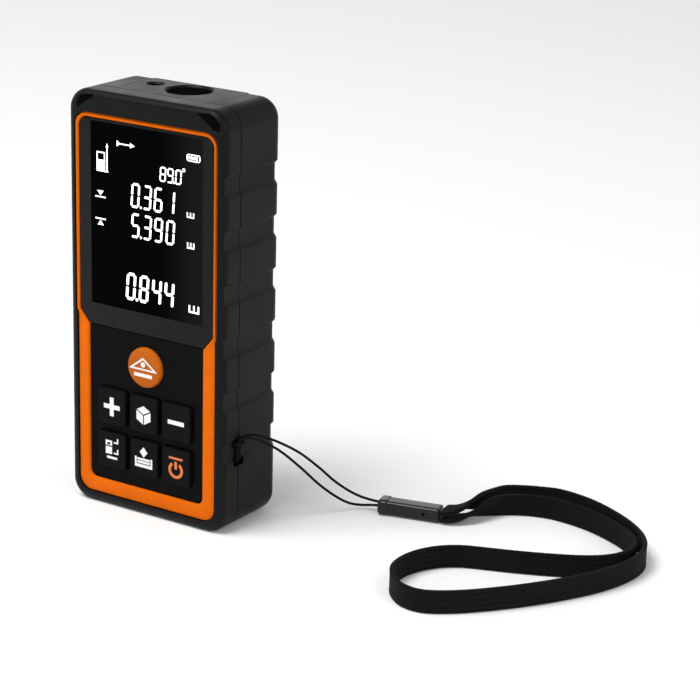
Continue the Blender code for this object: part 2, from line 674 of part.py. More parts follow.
# Route of the cord (x, y, z): from the clasp to the eye, down outside the bar, up behind
# it, out of the upper slot as a bight round both strands, and back the same way.
CORD_ROUTE = (
    (48.3, 26.93, 2.9), (46.4, 25.9, 3.3), (44.0, 24.15, 4.3), (41.3, 21.8, 6.3),
    (39.0, 18.4, 9.6), (37.0, 14.8, 13.6), (34.0, 9.7, 18.7), (31.1, 4.6, 22.4),
    (28.6, 0.3, 24.8), (26.6, -2.6, 25.7), (25.3, -4.4, 25.0), (25.0, -4.75, 23.8),
    (24.96, -4.8, 22.3), (24.96, -4.75, 20.0), (24.56, -4.6, 19.04), (23.6, -4.3, 18.64),
    (22.64, -4.0, 19.04), (22.24, -3.8, 20.0), (22.24, -3.7, 22.4), (22.5, -3.7, 23.4),
    (23.3, -3.7, 23.9), (24.5, -3.7, 23.9), (25.9, -4.2, 23.9), (26.5, -5.3, 23.9),
    (25.9, -6.4, 23.9), (24.5, -6.9, 23.9), (23.3, -6.9, 23.9), (22.5, -6.9, 23.4),
    (22.24, -6.9, 22.4), (22.24, -6.8, 20.0), (22.64, -6.6, 19.04), (23.6, -6.3, 18.64),
    (24.56, -6.0, 19.04), (24.96, -5.85, 20.0), (24.96, -5.8, 22.3), (25.0, -5.8, 23.8),
    (25.6, -5.5, 25.0), (27.3, -3.0, 25.0), (29.0, -0.2, 23.6), (31.2, 4.5, 20.2),
    (34.1, 9.7, 14.8), (37.1, 14.9, 8.8), (39.5, 19.4, 4.6), (41.3, 23.0, 2.1),
    (43.4, 25.4, 1.3), (45.6, 26.6, 1.4), (48.3, 26.93, 1.85),
)

# Route of the webbing (x, y, z, lean, size): lean is 0 where it stands on its edge and 90
# where it lies flat, and size is its share of the full width where the clasp grips it.
WEB_ROUTE = (
    (65.6, 31.1, 3.1, 90, 0.85), (66.7, 31.37, 3.2, 90, 0.87), (67.6, 32.2, 3.5, 86, 0.91),
    (68.3, 33.9, 3.75, 78, 0.95),
    (69.1, 37.3, 3.9, 55, 1), (70.2, 41.9, 3.6, 28, 1), (71.7, 46.7, 3.2, 8, 1),
    (73.7, 50.9, 3.1, 0, 1), (77.3, 53.4, 3.1, 0, 1), (81.5, 55.4, 3.1, 0, 1),
    (87.0, 57.0, 3.1, 0, 1), (96.5, 55.6, 3.1, 0, 1), (105.5, 51.8, 3.1, 0, 1),
    (113.5, 46.8, 3.1, 0, 1), (119.6, 40.8, 3.1, 0, 1), (123.4, 33.5, 3.1, 0, 1),
    (123.9, 25.5, 3.1, 0, 1), (121.4, 15.5, 3.1, 0, 1), (116.2, 5.0, 3.1, 0, 1),
    (110.0, -4.5, 3.1, 0, 1), (103.0, -13.2, 3.1, 0, 1), (97.0, -19.0, 3.1, 0, 1),
    (91.5, -22.2, 3.1, 0, 1), (86.0, -21.8, 3.1, 0, 1), (81.0, -18.2, 3.1, 0, 1),
    (77.7, -13.0, 3.1, 0, 1), (76.9, -6.8, 3.1, 0, 1), (78.3, -0.8, 3.1, 0, 1),
    (81.4, 4.2, 3.1, 0, 1), (85.6, 7.5, 3.1, 0, 1), (91.5, 9.9, 3.1, 0, 1),
    (99.5, 13.0, 3.1, 0, 1), (107.5, 16.7, 3.1, 0, 1), (114.0, 20.4, 3.1, 0, 1),
    (118.6, 24.9, 3.1, 0, 1), (120.6, 30.6, 3.1, 0, 1), (119.4, 36.4, 3.1, 0, 1),
    (115.0, 41.4, 3.1, 0, 1), (108.3, 45.4, 3.1, 0, 1), (100.0, 48.6, 3.1, 0, 1),
    (91.5, 50.0, 3.1, 0, 1), (86.0, 49.6, 3.1, 0, 1), (80.0, 47.3, 3.1, 0, 1),
    (75.4, 43.2, 3.1, -8, 1), (73.0, 39.1, 2.95, -35, 1), (71.2, 35.5, 2.1, -62, 1),
    (68.9, 32.7, 1.4, -81, 0.95), (67.8, 31.75, 1.2, -87, 0.9), (66.7, 31.37, 1.15, -90, 0.87),
    (65.6, 31.1, 1.15, -90, 0.85),
)


def smooth_route(route, spacing):
    """Points on one smooth curve through the route, with its other values carried along."""
    places = [Vector(stop[:3]) for stop in route]
    count = len(places)
    samples = []
    for index in range(count - 1):
        start = places[index]
        end = places[index + 1]
        before = places[max(index - 1, 0)]
        after = places[min(index + 2, count - 1)]
        reach = (end - start).length / 3
        leave = start + (end - before).normalized() * reach
        arrive = end - (after - start).normalized() * reach
        steps = max(1, round((end - start).length / spacing))
        curve = interpolate_bezier(start, leave, arrive, end, steps + 1)
        for step in range(steps):
            share = step / steps
            extra = [a + (b - a) * share for a, b in zip(route[index][3:], route[index + 1][3:])]
            samples.append((curve[step], extra))
    samples.append((places[-1], list(route[-1][3:])))
    return samples


def strap():
    tube("strap_cord", [place for place, _ in smooth_route(CORD_ROUTE, 2.0)], CORD_RADIUS, "cord")
    samples = smooth_route(WEB_ROUTE, 4.0)
    web = tube("strap_webbing", [place for place, _ in samples], WEB_THICKNESS / 2, "webbing")
    web.data.extrude = (WEB_WIDTH - WEB_THICKNESS) / 2 * MM
    web.data.twist_mode = "Z_UP"
    for point, (_, (lean, size)) in zip(web.data.splines[0].points, samples):
        point.tilt = math.radians(lean)
        point.radius = size
    length = (SLIDER_END - SLIDER_START).length
    slider = block("strap_slider", (0, -SLIDER_WIDTH / 2, 0), (length, SLIDER_WIDTH / 2,
                   SLIDER_HEIGHT), "clasp", axis=0, corner=1.1, rims=[(0, 0.5), (length, 0.5)])
    way = SLIDER_END - SLIDER_START
    slider.rotation_euler = (0.0, 0.0, math.atan2(way.y, way.x))
    slider.location = Vector((SLIDER_START.x, SLIDER_START.y, SLIDER_LIFT)) * MM


def main():
    start_scene()
    make_materials()
    grooves = groove_cutters()
    eyes = eye_cutters()
    front_shell(grooves, eyes)
    back_shell(grooves, eyes)
    orange_frame()
    display_window()
    keypad_panel()
    aperture_plate()
    keys()
    domes()
    display_stack()
    main_board()
    optics()
    batteries()
    screws()
    strap()


main()
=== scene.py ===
"""Looks of the pocket laser distance meter. Millimetres, scaled to metres where they are used."""
import math

import bmesh
import bpy
from mathutils import Matrix, Vector
from mathutils.geometry import interpolate_bezier


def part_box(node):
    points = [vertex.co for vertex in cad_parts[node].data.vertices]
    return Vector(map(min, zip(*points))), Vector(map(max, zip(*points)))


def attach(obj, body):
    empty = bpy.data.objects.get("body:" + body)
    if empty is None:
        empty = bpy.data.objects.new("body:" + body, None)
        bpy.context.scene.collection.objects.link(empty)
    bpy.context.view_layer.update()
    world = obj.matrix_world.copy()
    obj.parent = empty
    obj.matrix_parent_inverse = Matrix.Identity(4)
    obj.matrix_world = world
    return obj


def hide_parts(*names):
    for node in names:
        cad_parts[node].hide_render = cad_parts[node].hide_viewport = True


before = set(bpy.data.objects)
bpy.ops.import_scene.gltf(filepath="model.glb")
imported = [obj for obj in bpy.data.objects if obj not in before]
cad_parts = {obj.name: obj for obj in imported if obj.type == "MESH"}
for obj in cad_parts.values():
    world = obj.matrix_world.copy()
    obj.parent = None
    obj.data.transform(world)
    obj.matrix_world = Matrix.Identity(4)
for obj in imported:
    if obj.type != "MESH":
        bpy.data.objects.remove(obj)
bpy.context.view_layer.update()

MM = 0.001
GAP = 0.3
ROOT = "housing"


def limits(node):
    """Lowest and highest corner of a CAD node in millimetres."""
    low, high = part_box(node)
    return low / MM, high / MM


# Housing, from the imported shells
FRONT_LOW, FRONT_HIGH = limits("front_shell")
BACK_LOW, BACK_HIGH = limits("back_shell")
HALF = FRONT_HIGH.x
HEIGHT = FRONT_HIGH.z
FRONT = FRONT_LOW.y
BACK = BACK_HIGH.y
SEAM_FRONT = -5.6
SEAM_BACK = -5.4
CORNER = 5.5
FRONT_RIM = 2.2
BACK_RIM = 3.0
SEAM_RIM = 0.1
CAVITY_HALF = HALF - 2.6
CAVITY_BOTTOM = 2.2
CAVITY_TOP = HEIGHT - 2.4
GROOVES = 6
GROOVE_TOP = 95.8
GROOVE_PITCH = 14.16
GROOVE_HEIGHT = 5.9
GROOVE_DEPTH = 0.5
GROOVE_UPPER_SLOPE = 0.5
GROOVE_LOWER_SLOPE = 1.0
SCREW_X = 20.6
SCREW_ROWS = (10.0, 51.2)
BOSS_RADIUS = 3.2
PILOT_RADIUS = 1.25
BORE_RADIUS = 2.2
SINK_RADII = (2.15, 2.6)
COVER_GAP = 0.15
OPENING_HALF = 14.2
OPENING_BOTTOM = 6
OPENING_TOP = 61.4
SCOOP_RADIUS = 4.2
SCOOP_CENTRE = 15.2
PLATE_LOW = (-15.0, -3.4)
PLATE_HIGH = (16.0, 11.0)
PLATE_GAP = 0.12

# Fascia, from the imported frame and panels
FRAME_LOW, FRAME_HIGH = limits("orange_frame")
FRAME_HALF = FRAME_HIGH.x
FRAME_BACK = FRAME_HIGH.y
FRAME_CORNER = 3.8
LINE = 1.1
BAND = 4.15
JOG = 0.4
SHOULDER = 53.3
SHOULDER_DROP = 1.2
WAIST = 49.7
LCD_HALF = 17.9
LCD_CENTRE = 0.25
LCD_BOTTOM = 55.8
LCD_TOP = 104.3
READ_Z = 41.2
READ_RADIUS = 5.4
KEY_WIDTH = 8.9
KEY_HEIGHT = 9.8
KEY_COLUMN = 10.55
KEY_ROWS = (28.4, 16.2)
KEY_GAP = 0.26
KEY_MARK = 0.03
KEY_NAMES = (("key_plus", "key_cube", "key_minus"), ("key_unit", "key_level", "key_power"))

# Top end and back
RECEIVER = (1.7, 3.9, 6.6)      # x, y, radius of the mouth
LASER = (-10.0, 5.0, 2.6)
EYE_SLOTS = ((22.9, 25.3), (17.7, 20.1))
EYE_FRONT = -7.6
EYE_BACK = -3.0

# Wrist strap: the same routes as the solids
CORD_DIAMETER = 0.72
WEB_WIDTH = 6.0
WEB_THICKNESS = 1.2
SLIDER_START = Vector((48.6, 27.0, 0.1))
SLIDER_END = Vector((65.2, 31.0, 0.1))
SLIDER_WIDTH = 5.6
SLIDER_HEIGHT = 4.2
CORD_ROUTE = (
    (48.3, 26.93, 2.9), (46.4, 25.9, 3.3), (44.0, 24.15, 4.3), (41.3, 21.8, 6.3),
    (39.0, 18.4, 9.6), (37.0, 14.8, 13.6), (34.0, 9.7, 18.7), (31.1, 4.6, 22.4),
    (28.6, 0.3, 24.8), (26.6, -2.6, 25.7), (25.3, -4.4, 25.0), (25.0, -4.75, 23.8),
    (24.96, -4.8, 22.3), (24.96, -4.75, 20.0), (24.56, -4.6, 19.04), (23.6, -4.3, 18.64),
    (22.64, -4.0, 19.04), (22.24, -3.8, 20.0), (22.24, -3.7, 22.4), (22.5, -3.7, 23.4),
    (23.3, -3.7, 23.9), (24.5, -3.7, 23.9), (25.9, -4.2, 23.9), (26.5, -5.3, 23.9),
    (25.9, -6.4, 23.9), (24.5, -6.9, 23.9), (23.3, -6.9, 23.9), (22.5, -6.9, 23.4),
    (22.24, -6.9, 22.4), (22.24, -6.8, 20.0), (22.64, -6.6, 19.04), (23.6, -6.3, 18.64),
    (24.56, -6.0, 19.04), (24.96, -5.85, 20.0), (24.96, -5.8, 22.3), (25.0, -5.8, 23.8),
    (25.6, -5.5, 25.0), (27.3, -3.0, 25.0), (29.0, -0.2, 23.6), (31.2, 4.5, 20.2),
    (34.1, 9.7, 14.8), (37.1, 14.9, 8.8), (39.5, 19.4, 4.6), (41.3, 23.0, 2.1),
    (43.4, 25.4, 1.3), (45.6, 26.6, 1.4), (48.3, 26.93, 1.85),
)
WEB_ROUTE = (       # x, y, z, lean in degrees, share of the full section
    (65.6, 31.1, 3.1, 90, 0.85), (66.7, 31.37, 3.2, 90, 0.87), (67.6, 32.2, 3.5, 86, 0.91),
    (68.3, 33.9, 3.75, 78, 0.95),
    (69.1, 37.3, 3.9, 55, 1), (70.2, 41.9, 3.6, 28, 1), (71.7, 46.7, 3.2, 8, 1),
    (73.7, 50.9, 3.1, 0, 1), (77.3, 53.4, 3.1, 0, 1), (81.5, 55.4, 3.1, 0, 1),
    (87.0, 57.0, 3.1, 0, 1), (96.5, 55.6, 3.1, 0, 1), (105.5, 51.8, 3.1, 0, 1),
    (113.5, 46.8, 3.1, 0, 1), (119.6, 40.8, 3.1, 0, 1), (123.4, 33.5, 3.1, 0, 1),
    (123.9, 25.5, 3.1, 0, 1), (121.4, 15.5, 3.1, 0, 1), (116.2, 5.0, 3.1, 0, 1),
    (110.0, -4.5, 3.1, 0, 1), (103.0, -13.2, 3.1, 0, 1), (97.0, -19.0, 3.1, 0, 1),
    (91.5, -22.2, 3.1, 0, 1), (86.0, -21.8, 3.1, 0, 1), (81.0, -18.2, 3.1, 0, 1),
    (77.7, -13.0, 3.1, 0, 1), (76.9, -6.8, 3.1, 0, 1), (78.3, -0.8, 3.1, 0, 1),
    (81.4, 4.2, 3.1, 0, 1), (85.6, 7.5, 3.1, 0, 1), (91.5, 9.9, 3.1, 0, 1),
    (99.5, 13.0, 3.1, 0, 1), (107.5, 16.7, 3.1, 0, 1), (114.0, 20.4, 3.1, 0, 1),
    (118.6, 24.9, 3.1, 0, 1), (120.6, 30.6, 3.1, 0, 1), (119.4, 36.4, 3.1, 0, 1),
    (115.0, 41.4, 3.1, 0, 1), (108.3, 45.4, 3.1, 0, 1), (100.0, 48.6, 3.1, 0, 1),
    (91.5, 50.0, 3.1, 0, 1), (86.0, 49.6, 3.1, 0, 1), (80.0, 47.3, 3.1, 0, 1),
    (75.4, 43.2, 3.1, -8, 1), (73.0, 39.1, 2.95, -35, 1), (71.2, 35.5, 2.1, -62, 1),
    (68.9, 32.7, 1.4, -81, 0.95), (67.8, 31.75, 1.2, -87, 0.9), (66.7, 31.37, 1.15, -90, 0.87),
    (65.6, 31.1, 1.15, -90, 0.85),
)


# ---- camera, floor, light

SKY = ((0.28, 0.9), (0.6, 0.3))     # height of the direction, grey
LIGHTS = (      # name, place, target, size, watts
    ("key_light", (-0.3, -0.5, 1.3), (0.03, 0, 0.05), (0.8, 0.8), 17),
    ("side_light", (1.1, -0.3, 0.7), (0.03, 0, 0.05), (0.5, 0.9), 4),
    ("back_light", (-0.8, 1.2, 0.45), (0.03, 0, 0.08), (1.2, 0.4), 1.5),
)


def add_object(name, data):
    obj = bpy.data.objects.new(name, data)
    bpy.context.scene.collection.objects.link(obj)
    return obj


def camera():
    """Camera at azimuth 32.7 and elevation 17.9 degrees, with a small roll."""
    azimuth = math.radians(32.717)
    elevation = math.radians(17.898)
    roll = math.radians(1.502)
    right = Vector((math.cos(azimuth), math.sin(azimuth), 0.0))
    back = Vector((math.sin(azimuth) * math.cos(elevation),
                   -math.cos(azimuth) * math.cos(elevation), math.sin(elevation)))
    up = back.cross(right)
    across = right * math.cos(roll) + up * math.sin(roll)
    upright = up * math.cos(roll) - right * math.sin(roll)
    eye = Vector((357.9, -471.4, 234.7)) * MM
    data = bpy.data.cameras.new("camera")
    data.sensor_width = 36.0
    data.lens = 121.1
    data.clip_start = 0.01
    data.clip_end = 50.0
    obj = add_object("camera", data)
    turn = Matrix((across, upright, back)).transposed().to_4x4()
    obj.matrix_world = Matrix.Translation(eye) @ turn
    bpy.context.scene.camera = obj


def area_light(name, place, target, size, power):
    data = bpy.data.lights.new(name, "AREA")
    data.shape = "RECTANGLE"
    data.size = size[0]
    data.size_y = size[1]
    data.energy = power
    obj = add_object(name, data)
    obj.location = place
    way = Vector(target) - Vector(place)
    obj.rotation_euler = way.to_track_quat("-Z", "Y").to_euler()


def studio():
    """White floor under a sky that darkens upwards, lit by three soft lights."""
    bpy.context.scene.view_settings.view_transform = "Standard"
    world = bpy.data.worlds.new("studio")
    world.use_nodes = True
    tree = world.node_tree
    background = tree.nodes["Background"]
    background.inputs["Strength"].default_value = 1.0
    way = tree.nodes.new("ShaderNodeTexCoord")
    parts = tree.nodes.new("ShaderNodeSeparateXYZ")
    ramp = tree.nodes.new("ShaderNodeValToRGB")
    for stop, (height, grey) in zip(ramp.color_ramp.elements, SKY):
        stop.position = height
        stop.color = (grey, grey, grey, 1)
    tree.links.new(way.outputs["Generated"], parts.inputs["Vector"])
    tree.links.new(parts.outputs["Z"], ramp.inputs["Fac"])
    tree.links.new(ramp.outputs["Color"], background.inputs["Color"])
    bpy.context.scene.world = world
    bm = bmesh.new()
    bmesh.ops.create_grid(bm, x_segments=1, y_segments=1, size=6.0)
    floor = add_object("floor", bpy.data.meshes.new("floor"))
    bm.to_mesh(floor.data)
    bm.free()
    floor.data.materials.append(MATERIALS["floor"])
    for light in LIGHTS:
        area_light(*light)


# ---- materials

MATERIALS = {}


class Nodes:
    """Short forms for building one material's nodes."""

    def __init__(self, name, colour, roughness, metallic=0.0, specular=0.5):
        material = bpy.data.materials.new(name)
        material.use_nodes = True
        self.tree = material.node_tree
        self.shader = self.tree.nodes["Principled BSDF"]
        self.set("Base Color", (*colour, 1.0))
        self.set("Roughness", roughness)
        self.set("Metallic", metallic)
        self.set("Specular IOR Level", specular)
        self.place = self.new("TexCoord").outputs["Object"]
        MATERIALS[name] = material

    def set(self, socket, value):
        self.shader.inputs[socket].default_value = value

    def new(self, kind):
        return self.tree.nodes.new("ShaderNode" + kind)

    def feed(self, node, values):
        """Give a node's inputs constants or other nodes' outputs."""
        for socket, value in values.items():
            if isinstance(value, bpy.types.NodeSocket):
                self.tree.links.new(value, node.inputs[socket])
            else:
                node.inputs[socket].default_value = value
        return node

    def noise(self, scale, detail, stretch=None):
        place = self.place
        if stretch:
            mapping = self.feed(self.new("Mapping"), {"Vector": place, "Scale": stretch})
            place = mapping.outputs["Vector"]
        node = self.feed(self.new("TexNoise"), {"Vector": place, "Scale": scale, "Detail": detail})
        return node.outputs["Fac"]

    def split(self, vector):
        return self.feed(self.new("SeparateXYZ"), {"Vector": vector}).outputs

    def spread(self, value, low, high):
        node = self.feed(self.new("MapRange"), {"Value": value, "From Min": 0.3, "From Max": 0.7,
                                                "To Min": low, "To Max": high})
        return node.outputs["Result"]

    def blend(self, value, dark, light):
        node = self.new("Mix")
        node.data_type = "RGBA"
        self.feed(node, {"Factor": value, "A": (*dark, 1.0), "B": (*light, 1.0)})
        self.tree.links.new(node.outputs["Result"], self.shader.inputs["Base Color"])

    def bump(self, value, strength, height):
        node = self.feed(self.new("Bump"), {"Height": value, "Strength": strength,
                                            "Distance": height})
        normal = self.shader.inputs["Normal"]
        if normal.is_linked:
            self.tree.links.new(normal.links[0].from_socket, node.inputs["Normal"])
        self.tree.links.new(node.outputs["Normal"], normal)

    def compute(self, operation, first, second=0.0):
        node = self.new("Math")
        node.operation = operation
        return self.feed(node, {0: first, 1: second}).outputs["Value"]

    def herringbone(self, rib=0.55, turn=0.75, slope=1.1, depth=0.00016):
        """Slanting ribs of a woven band; its UVs are millimetres round and along the band."""
        parts = self.split(self.new("TexCoord").outputs["UV"])
        zigzag = self.compute("PINGPONG", parts["X"], turn)
        slant = self.compute("ADD", self.compute("MULTIPLY", zigzag, slope), parts["Y"])
        weft = self.compute("SINE", self.compute("MULTIPLY", slant, math.tau / rib))
        warp = self.compute("SINE", self.compute("MULTIPLY", parts["X"], math.tau / turn))
        self.bump(self.compute("ADD", weft, self.compute("MULTIPLY", warp, 0.6)), 1.0, depth)

    def rough(self, value):
        self.tree.links.new(value, self.shader.inputs["Roughness"])


def moulded(name, colour, roughness, grain=2600.0, depth=0.00003, specular=0.5, mottling=0.12,
            strength=0.5):
    """Moulded plastic or rubber: spark-eroded grain, faint mottling and handling marks."""
    nodes = Nodes(name, colour, roughness, specular=specular)
    dark = [channel * (1 - mottling) for channel in colour]
    light = [min(1.0, channel * (1 + mottling)) for channel in colour]
    nodes.blend(nodes.spread(nodes.noise(260, 4), 0.0, 1.0), dark, light)
    nodes.rough(nodes.spread(nodes.noise(90, 5), roughness - 0.06, roughness + 0.06))
    nodes.bump(nodes.noise(grain, 3), strength, depth)
    return nodes


def metal(name, colour, roughness):
    nodes = Nodes(name, colour, roughness, metallic=1.0)
    nodes.rough(nodes.spread(nodes.noise(900, 3, (1, 1, 12)), roughness - 0.08, roughness + 0.1))
    nodes.bump(nodes.noise(1500, 2, (1, 1, 20)), 0.2, 0.00001)


def make_materials():
    moulded("housing", (0.003, 0.003, 0.0031), 0.44, grain=3000, depth=0.00004, specular=0.13)
    moulded("orange", (0.7, 0.128, 0.0005), 0.42, grain=2200, depth=0.000015, mottling=0.05,
            specular=0.06)
    moulded("button orange", (0.46, 0.105, 0.006), 0.5, grain=2600, depth=0.00002, mottling=0.06,
            specular=0.08)
    moulded("fascia", (0.0024, 0.0024, 0.0026), 0.42, grain=3400, depth=0.00001, specular=0.045)
    moulded("bezel", (0.008, 0.008, 0.0085), 0.3, grain=1200, depth=0.000004, specular=0.1)
    moulded("key rubber", (0.0035, 0.0035, 0.0037), 0.55, grain=3800, depth=0.00002,
            specular=0.06)
    moulded("dark inlay", (0.001, 0.001, 0.001), 0.5, grain=3000, depth=0.00001, specular=0.02)
    moulded("inner plastic", (0.02, 0.02, 0.021), 0.6, grain=1500)
    moulded("floor", (0.93, 0.93, 0.93), 0.7, grain=50, depth=0.0, mottling=0.0, strength=0.0)
    moulded("light guide", (0.8, 0.8, 0.78), 0.5, grain=900)
    moulded("chip", (0.018, 0.018, 0.02), 0.5, grain=4000)
    moulded("clasp", (0.008, 0.008, 0.0082), 0.2, grain=700, depth=0.000008, mottling=0.1,
            specular=0.28)
    moulded("flex", (0.5, 0.19, 0.04), 0.4, grain=1800, depth=0.00001)
    moulded("cell sleeve", (0.07, 0.12, 0.26), 0.3, grain=1500, depth=0.000006)
    screen = Nodes("screen", (0.0008, 0.0008, 0.0009), 0.09, specular=0.01)
    screen.rough(screen.spread(screen.noise(60, 3), 0.07, 0.12))
    # Painted reflection: the screen's base colour lightens from near black to dark grey towards
    # its right side (object x 4 to 18 mm), standing in for a soft reflection.
    painted_reflection = screen.new("MapRange")
    painted_reflection.interpolation_type = "SMOOTHSTEP"
    screen.feed(painted_reflection, {"Value": screen.split(screen.place)["X"], "From Min": 0.004,
                       "From Max": 0.018})
    screen.blend(painted_reflection.outputs["Result"], (0.0007, 0.0007, 0.0008), (0.008, 0.008, 0.0085))
    board = moulded("board", (0.008, 0.09, 0.035), 0.4, grain=500, depth=0.00002)
    board.blend(board.spread(board.noise(700, 1), 0.0, 1.0), (0.006, 0.07, 0.03),
                (0.012, 0.13, 0.05))
    metal("steel", (0.58, 0.58, 0.59), 0.3)
    metal("brass", (0.66, 0.47, 0.17), 0.32)
    glow_colour = (0.95, 0.97, 1.0)
    glow = Nodes("display light", glow_colour, 0.5)
    glow.set("Emission Color", (*glow_colour, 1.0))
    glow.set("Emission Strength", 1.0)
    glow.rough(glow.spread(glow.noise(800, 2), 0.45, 0.55))
    moulded("white ink", (0.82, 0.82, 0.81), 0.5, grain=3000, depth=0.000005, mottling=0.04)
    moulded("orange ink", (0.68, 0.17, 0.035), 0.5, grain=3000, depth=0.000005, mottling=0.05)
    lens = Nodes("coated lens", (0.05, 0.032, 0.008), 0.04, specular=0.9)
    lens.set("Coat Weight", 1.0)
    lens.set("Coat Roughness", 0.03)
    lens.blend(lens.spread(lens.noise(120, 2), 0.0, 1.0), (0.035, 0.024, 0.006),
               (0.075, 0.05, 0.014))
    braid = moulded("braid", (0.003, 0.003, 0.003), 0.75, grain=5200, depth=0.00006, specular=0.1)
    braid.set("Sheen Weight", 0.03)
    braid.set("Sheen Roughness", 0.5)
    weave = moulded("webbing", (0.0022, 0.0022, 0.0024), 0.8, grain=4200, depth=0.00008,
                    mottling=0.5, specular=0.1)
    weave.set("Sheen Weight", 0.03)
    weave.set("Sheen Roughness", 0.45)
    weave.herringbone()


# ---- making pieces

def smooth(mesh, angle=32):
    mesh.shade_smooth()
    mesh.set_sharp_from_angle(angle=math.radians(angle))


def close_mesh(name, bm, look=None, angle=32):
    """New object from a finished mesh, facing outwards, smooth below the angle."""
    bmesh.ops.recalc_face_normals(bm, faces=bm.faces)
    mesh = bpy.data.meshes.new(name)
    bm.to_mesh(mesh)
    bm.free()
    smooth(mesh, angle)
    if look:
        mesh.materials.append(MATERIALS[look])
    return add_object(name, mesh)


def join_rings(bm, rings, capped=False):
    """Faces between each ring of points and the next, and over the two ends if capped."""
    faces = []
    for first, second in zip(rings, rings[1:]):
        for side in range(len(first)):
            after = (side + 1) % len(first)
            faces.append(bm.faces.new((first[side], first[after], second[after], second[side])))
    if capped:
        bm.faces.new(rings[0])
        bm.faces.new(list(reversed(rings[-1])))
    return faces


def applied(obj):
    """Mesh of an object as its modifiers or curve settings shape it."""
    bpy.context.view_layer.update()
    evaluated = obj.evaluated_get(bpy.context.evaluated_depsgraph_get())
    return bpy.data.meshes.new_from_object(evaluated)


def bevel(bm, wanted, width, steps):
    edges = [edge for edge in bm.edges if wanted(edge)]
    bmesh.ops.bevel(bm, geom=edges, offset=width * MM, offset_type="OFFSET", segments=steps,
                    profile=0.5, affect="EDGES", clamp_overlap=True)


def block(name, low, high, look=None, axis=1, corner=0.0, steps=8, rims=(), rim_steps=5):
    """Box with its edges along one axis rounded, and then the rims at that axis' ends."""
    low = Vector(low)
    high = Vector(high)
    size = (high - low) * MM
    bm = bmesh.new()
    bmesh.ops.create_cube(bm, size=1.0, matrix=Matrix.Translation((low + high) / 2 * MM)
                          @ Matrix.Diagonal((*size, 1.0)))
    if corner:
        bevel(bm, lambda edge: abs(abs((edge.verts[0].co - edge.verts[1].co)[axis])
                                   - size[axis]) < 1e-6, corner, steps)
    for level, width in rims:
        bevel(bm, lambda edge: all(abs(vert.co[axis] - level * MM) < 1e-6
                                   for vert in edge.verts), width, rim_steps)
    return close_mesh(name, bm, look)


def rod(name, start, end, radius, end_radius=None, sides=48):
    """Plain or tapered round bar, for cutting and joining."""
    start = Vector(start) * MM
    way = Vector(end) * MM - start
    turn = way.to_track_quat("Z", "Y").to_matrix().to_4x4()
    bm = bmesh.new()
    bmesh.ops.create_cone(bm, cap_ends=True, segments=sides, radius1=radius * MM,
                          radius2=(radius if end_radius is None else end_radius) * MM,
                          depth=way.length, matrix=Matrix.Translation(start + way / 2) @ turn)
    return close_mesh(name, bm)


def turned(name, profile, look, place, facing, steps=64):
    """Turned piece from (radius, height) pairs, listed from the outer end inwards."""
    bm = bmesh.new()
    ring = [bm.verts.new((radius * MM, 0.0, height * MM)) for radius, height in profile]
    edges = [bm.edges.new(pair) for pair in zip(ring, ring[1:])]
    bmesh.ops.spin(bm, geom=ring + edges, cent=(0, 0, 0), axis=(0, 0, 1), dvec=(0, 0, 0),
                   angle=math.tau, steps=steps, use_merge=True)
    bmesh.ops.remove_doubles(bm, verts=bm.verts, dist=1e-7)
    way = Vector(facing).to_track_quat("Z", "Y").to_matrix().to_4x4()
    bm.transform(Matrix.Translation(Vector(place) * MM) @ way)
    return close_mesh(name, bm, look)


def flat(name, outlines, near, far, look=None, axis="Y", edge=0.0):
    """Flat piece between two planes; the first outline is its edge and the others are holes."""
    curve = bpy.data.curves.new(name, "CURVE")
    curve.dimensions = "2D"
    curve.fill_mode = "BOTH"
    curve.extrude = ((far - near) / 2 - edge) * MM
    curve.bevel_depth = edge * MM
    curve.bevel_resolution = 3
    curve.offset = -edge * MM
    for outline in outlines:
        spline = curve.splines.new("POLY")
        spline.points.add(len(outline) - 1)
        for point, (across, up) in zip(spline.points, outline):
            point.co = (across * MM, up * MM, 0.0, 1.0)
        spline.use_cyclic_u = True
    source = add_object(name, curve)
    middle = (near + far) / 2 * MM
    place = Matrix.Translation((0, middle, 0)) @ Matrix.Rotation(math.pi / 2, 4, "X")
    if axis == "Z":
        place = Matrix.Translation((0, 0, middle))
    mesh = applied(source)
    bpy.data.objects.remove(source, do_unlink=True)
    bm = bmesh.new()
    bm.from_mesh(mesh)
    bpy.data.meshes.remove(mesh)
    bm.transform(place)
    bmesh.ops.remove_doubles(bm, verts=bm.verts, dist=1e-7)
    return close_mesh(name, bm, look)


def carve(target, cutters, operation="DIFFERENCE"):
    """Boolean with every cutter, applied at once; the cutters are removed."""
    for cutter in cutters:
        modifier = target.modifiers.new(cutter.name, "BOOLEAN")
        modifier.operation = operation
        modifier.solver = "MANIFOLD"
        modifier.object = cutter
    mesh = applied(target)
    target.modifiers.clear()
    target.data = mesh
    for cutter in cutters:
        bpy.data.objects.remove(cutter, do_unlink=True)
    smooth(mesh)
    return target


def even_shading(obj):
    modifier = obj.modifiers.new("Weighted Normal", "WEIGHTED_NORMAL")
    modifier.keep_sharp = True


def seat(piece, body, slot, *nodes):
    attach(piece, body)
    if nodes:
        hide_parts(*nodes)
    return piece


# ---- outlines

def rounded(corners, steps=8):
    """Closed outline through (x, y, radius) corners, each turned into an arc."""
    outline = []
    count = len(corners)
    for index, (x, y, radius) in enumerate(corners):
        corner = Vector((x, y))
        if radius == 0:
            outline.append((x, y))
            continue
        before = (Vector(corners[index - 1][:2]) - corner).normalized()
        after = (Vector(corners[(index + 1) % count][:2]) - corner).normalized()
        half = before.angle(after) / 2
        centre = corner + (before + after).normalized() * radius / math.sin(half)
        start = corner + before * radius / math.tan(half) - centre
        sweep = start.angle_signed(corner + after * radius / math.tan(half) - centre)
        for step in range(steps + 1):
            turn = -sweep * step / steps
            outline.append((centre.x + start.x * math.cos(turn) - start.y * math.sin(turn),
                            centre.y + start.x * math.sin(turn) + start.y * math.cos(turn)))
    return outline


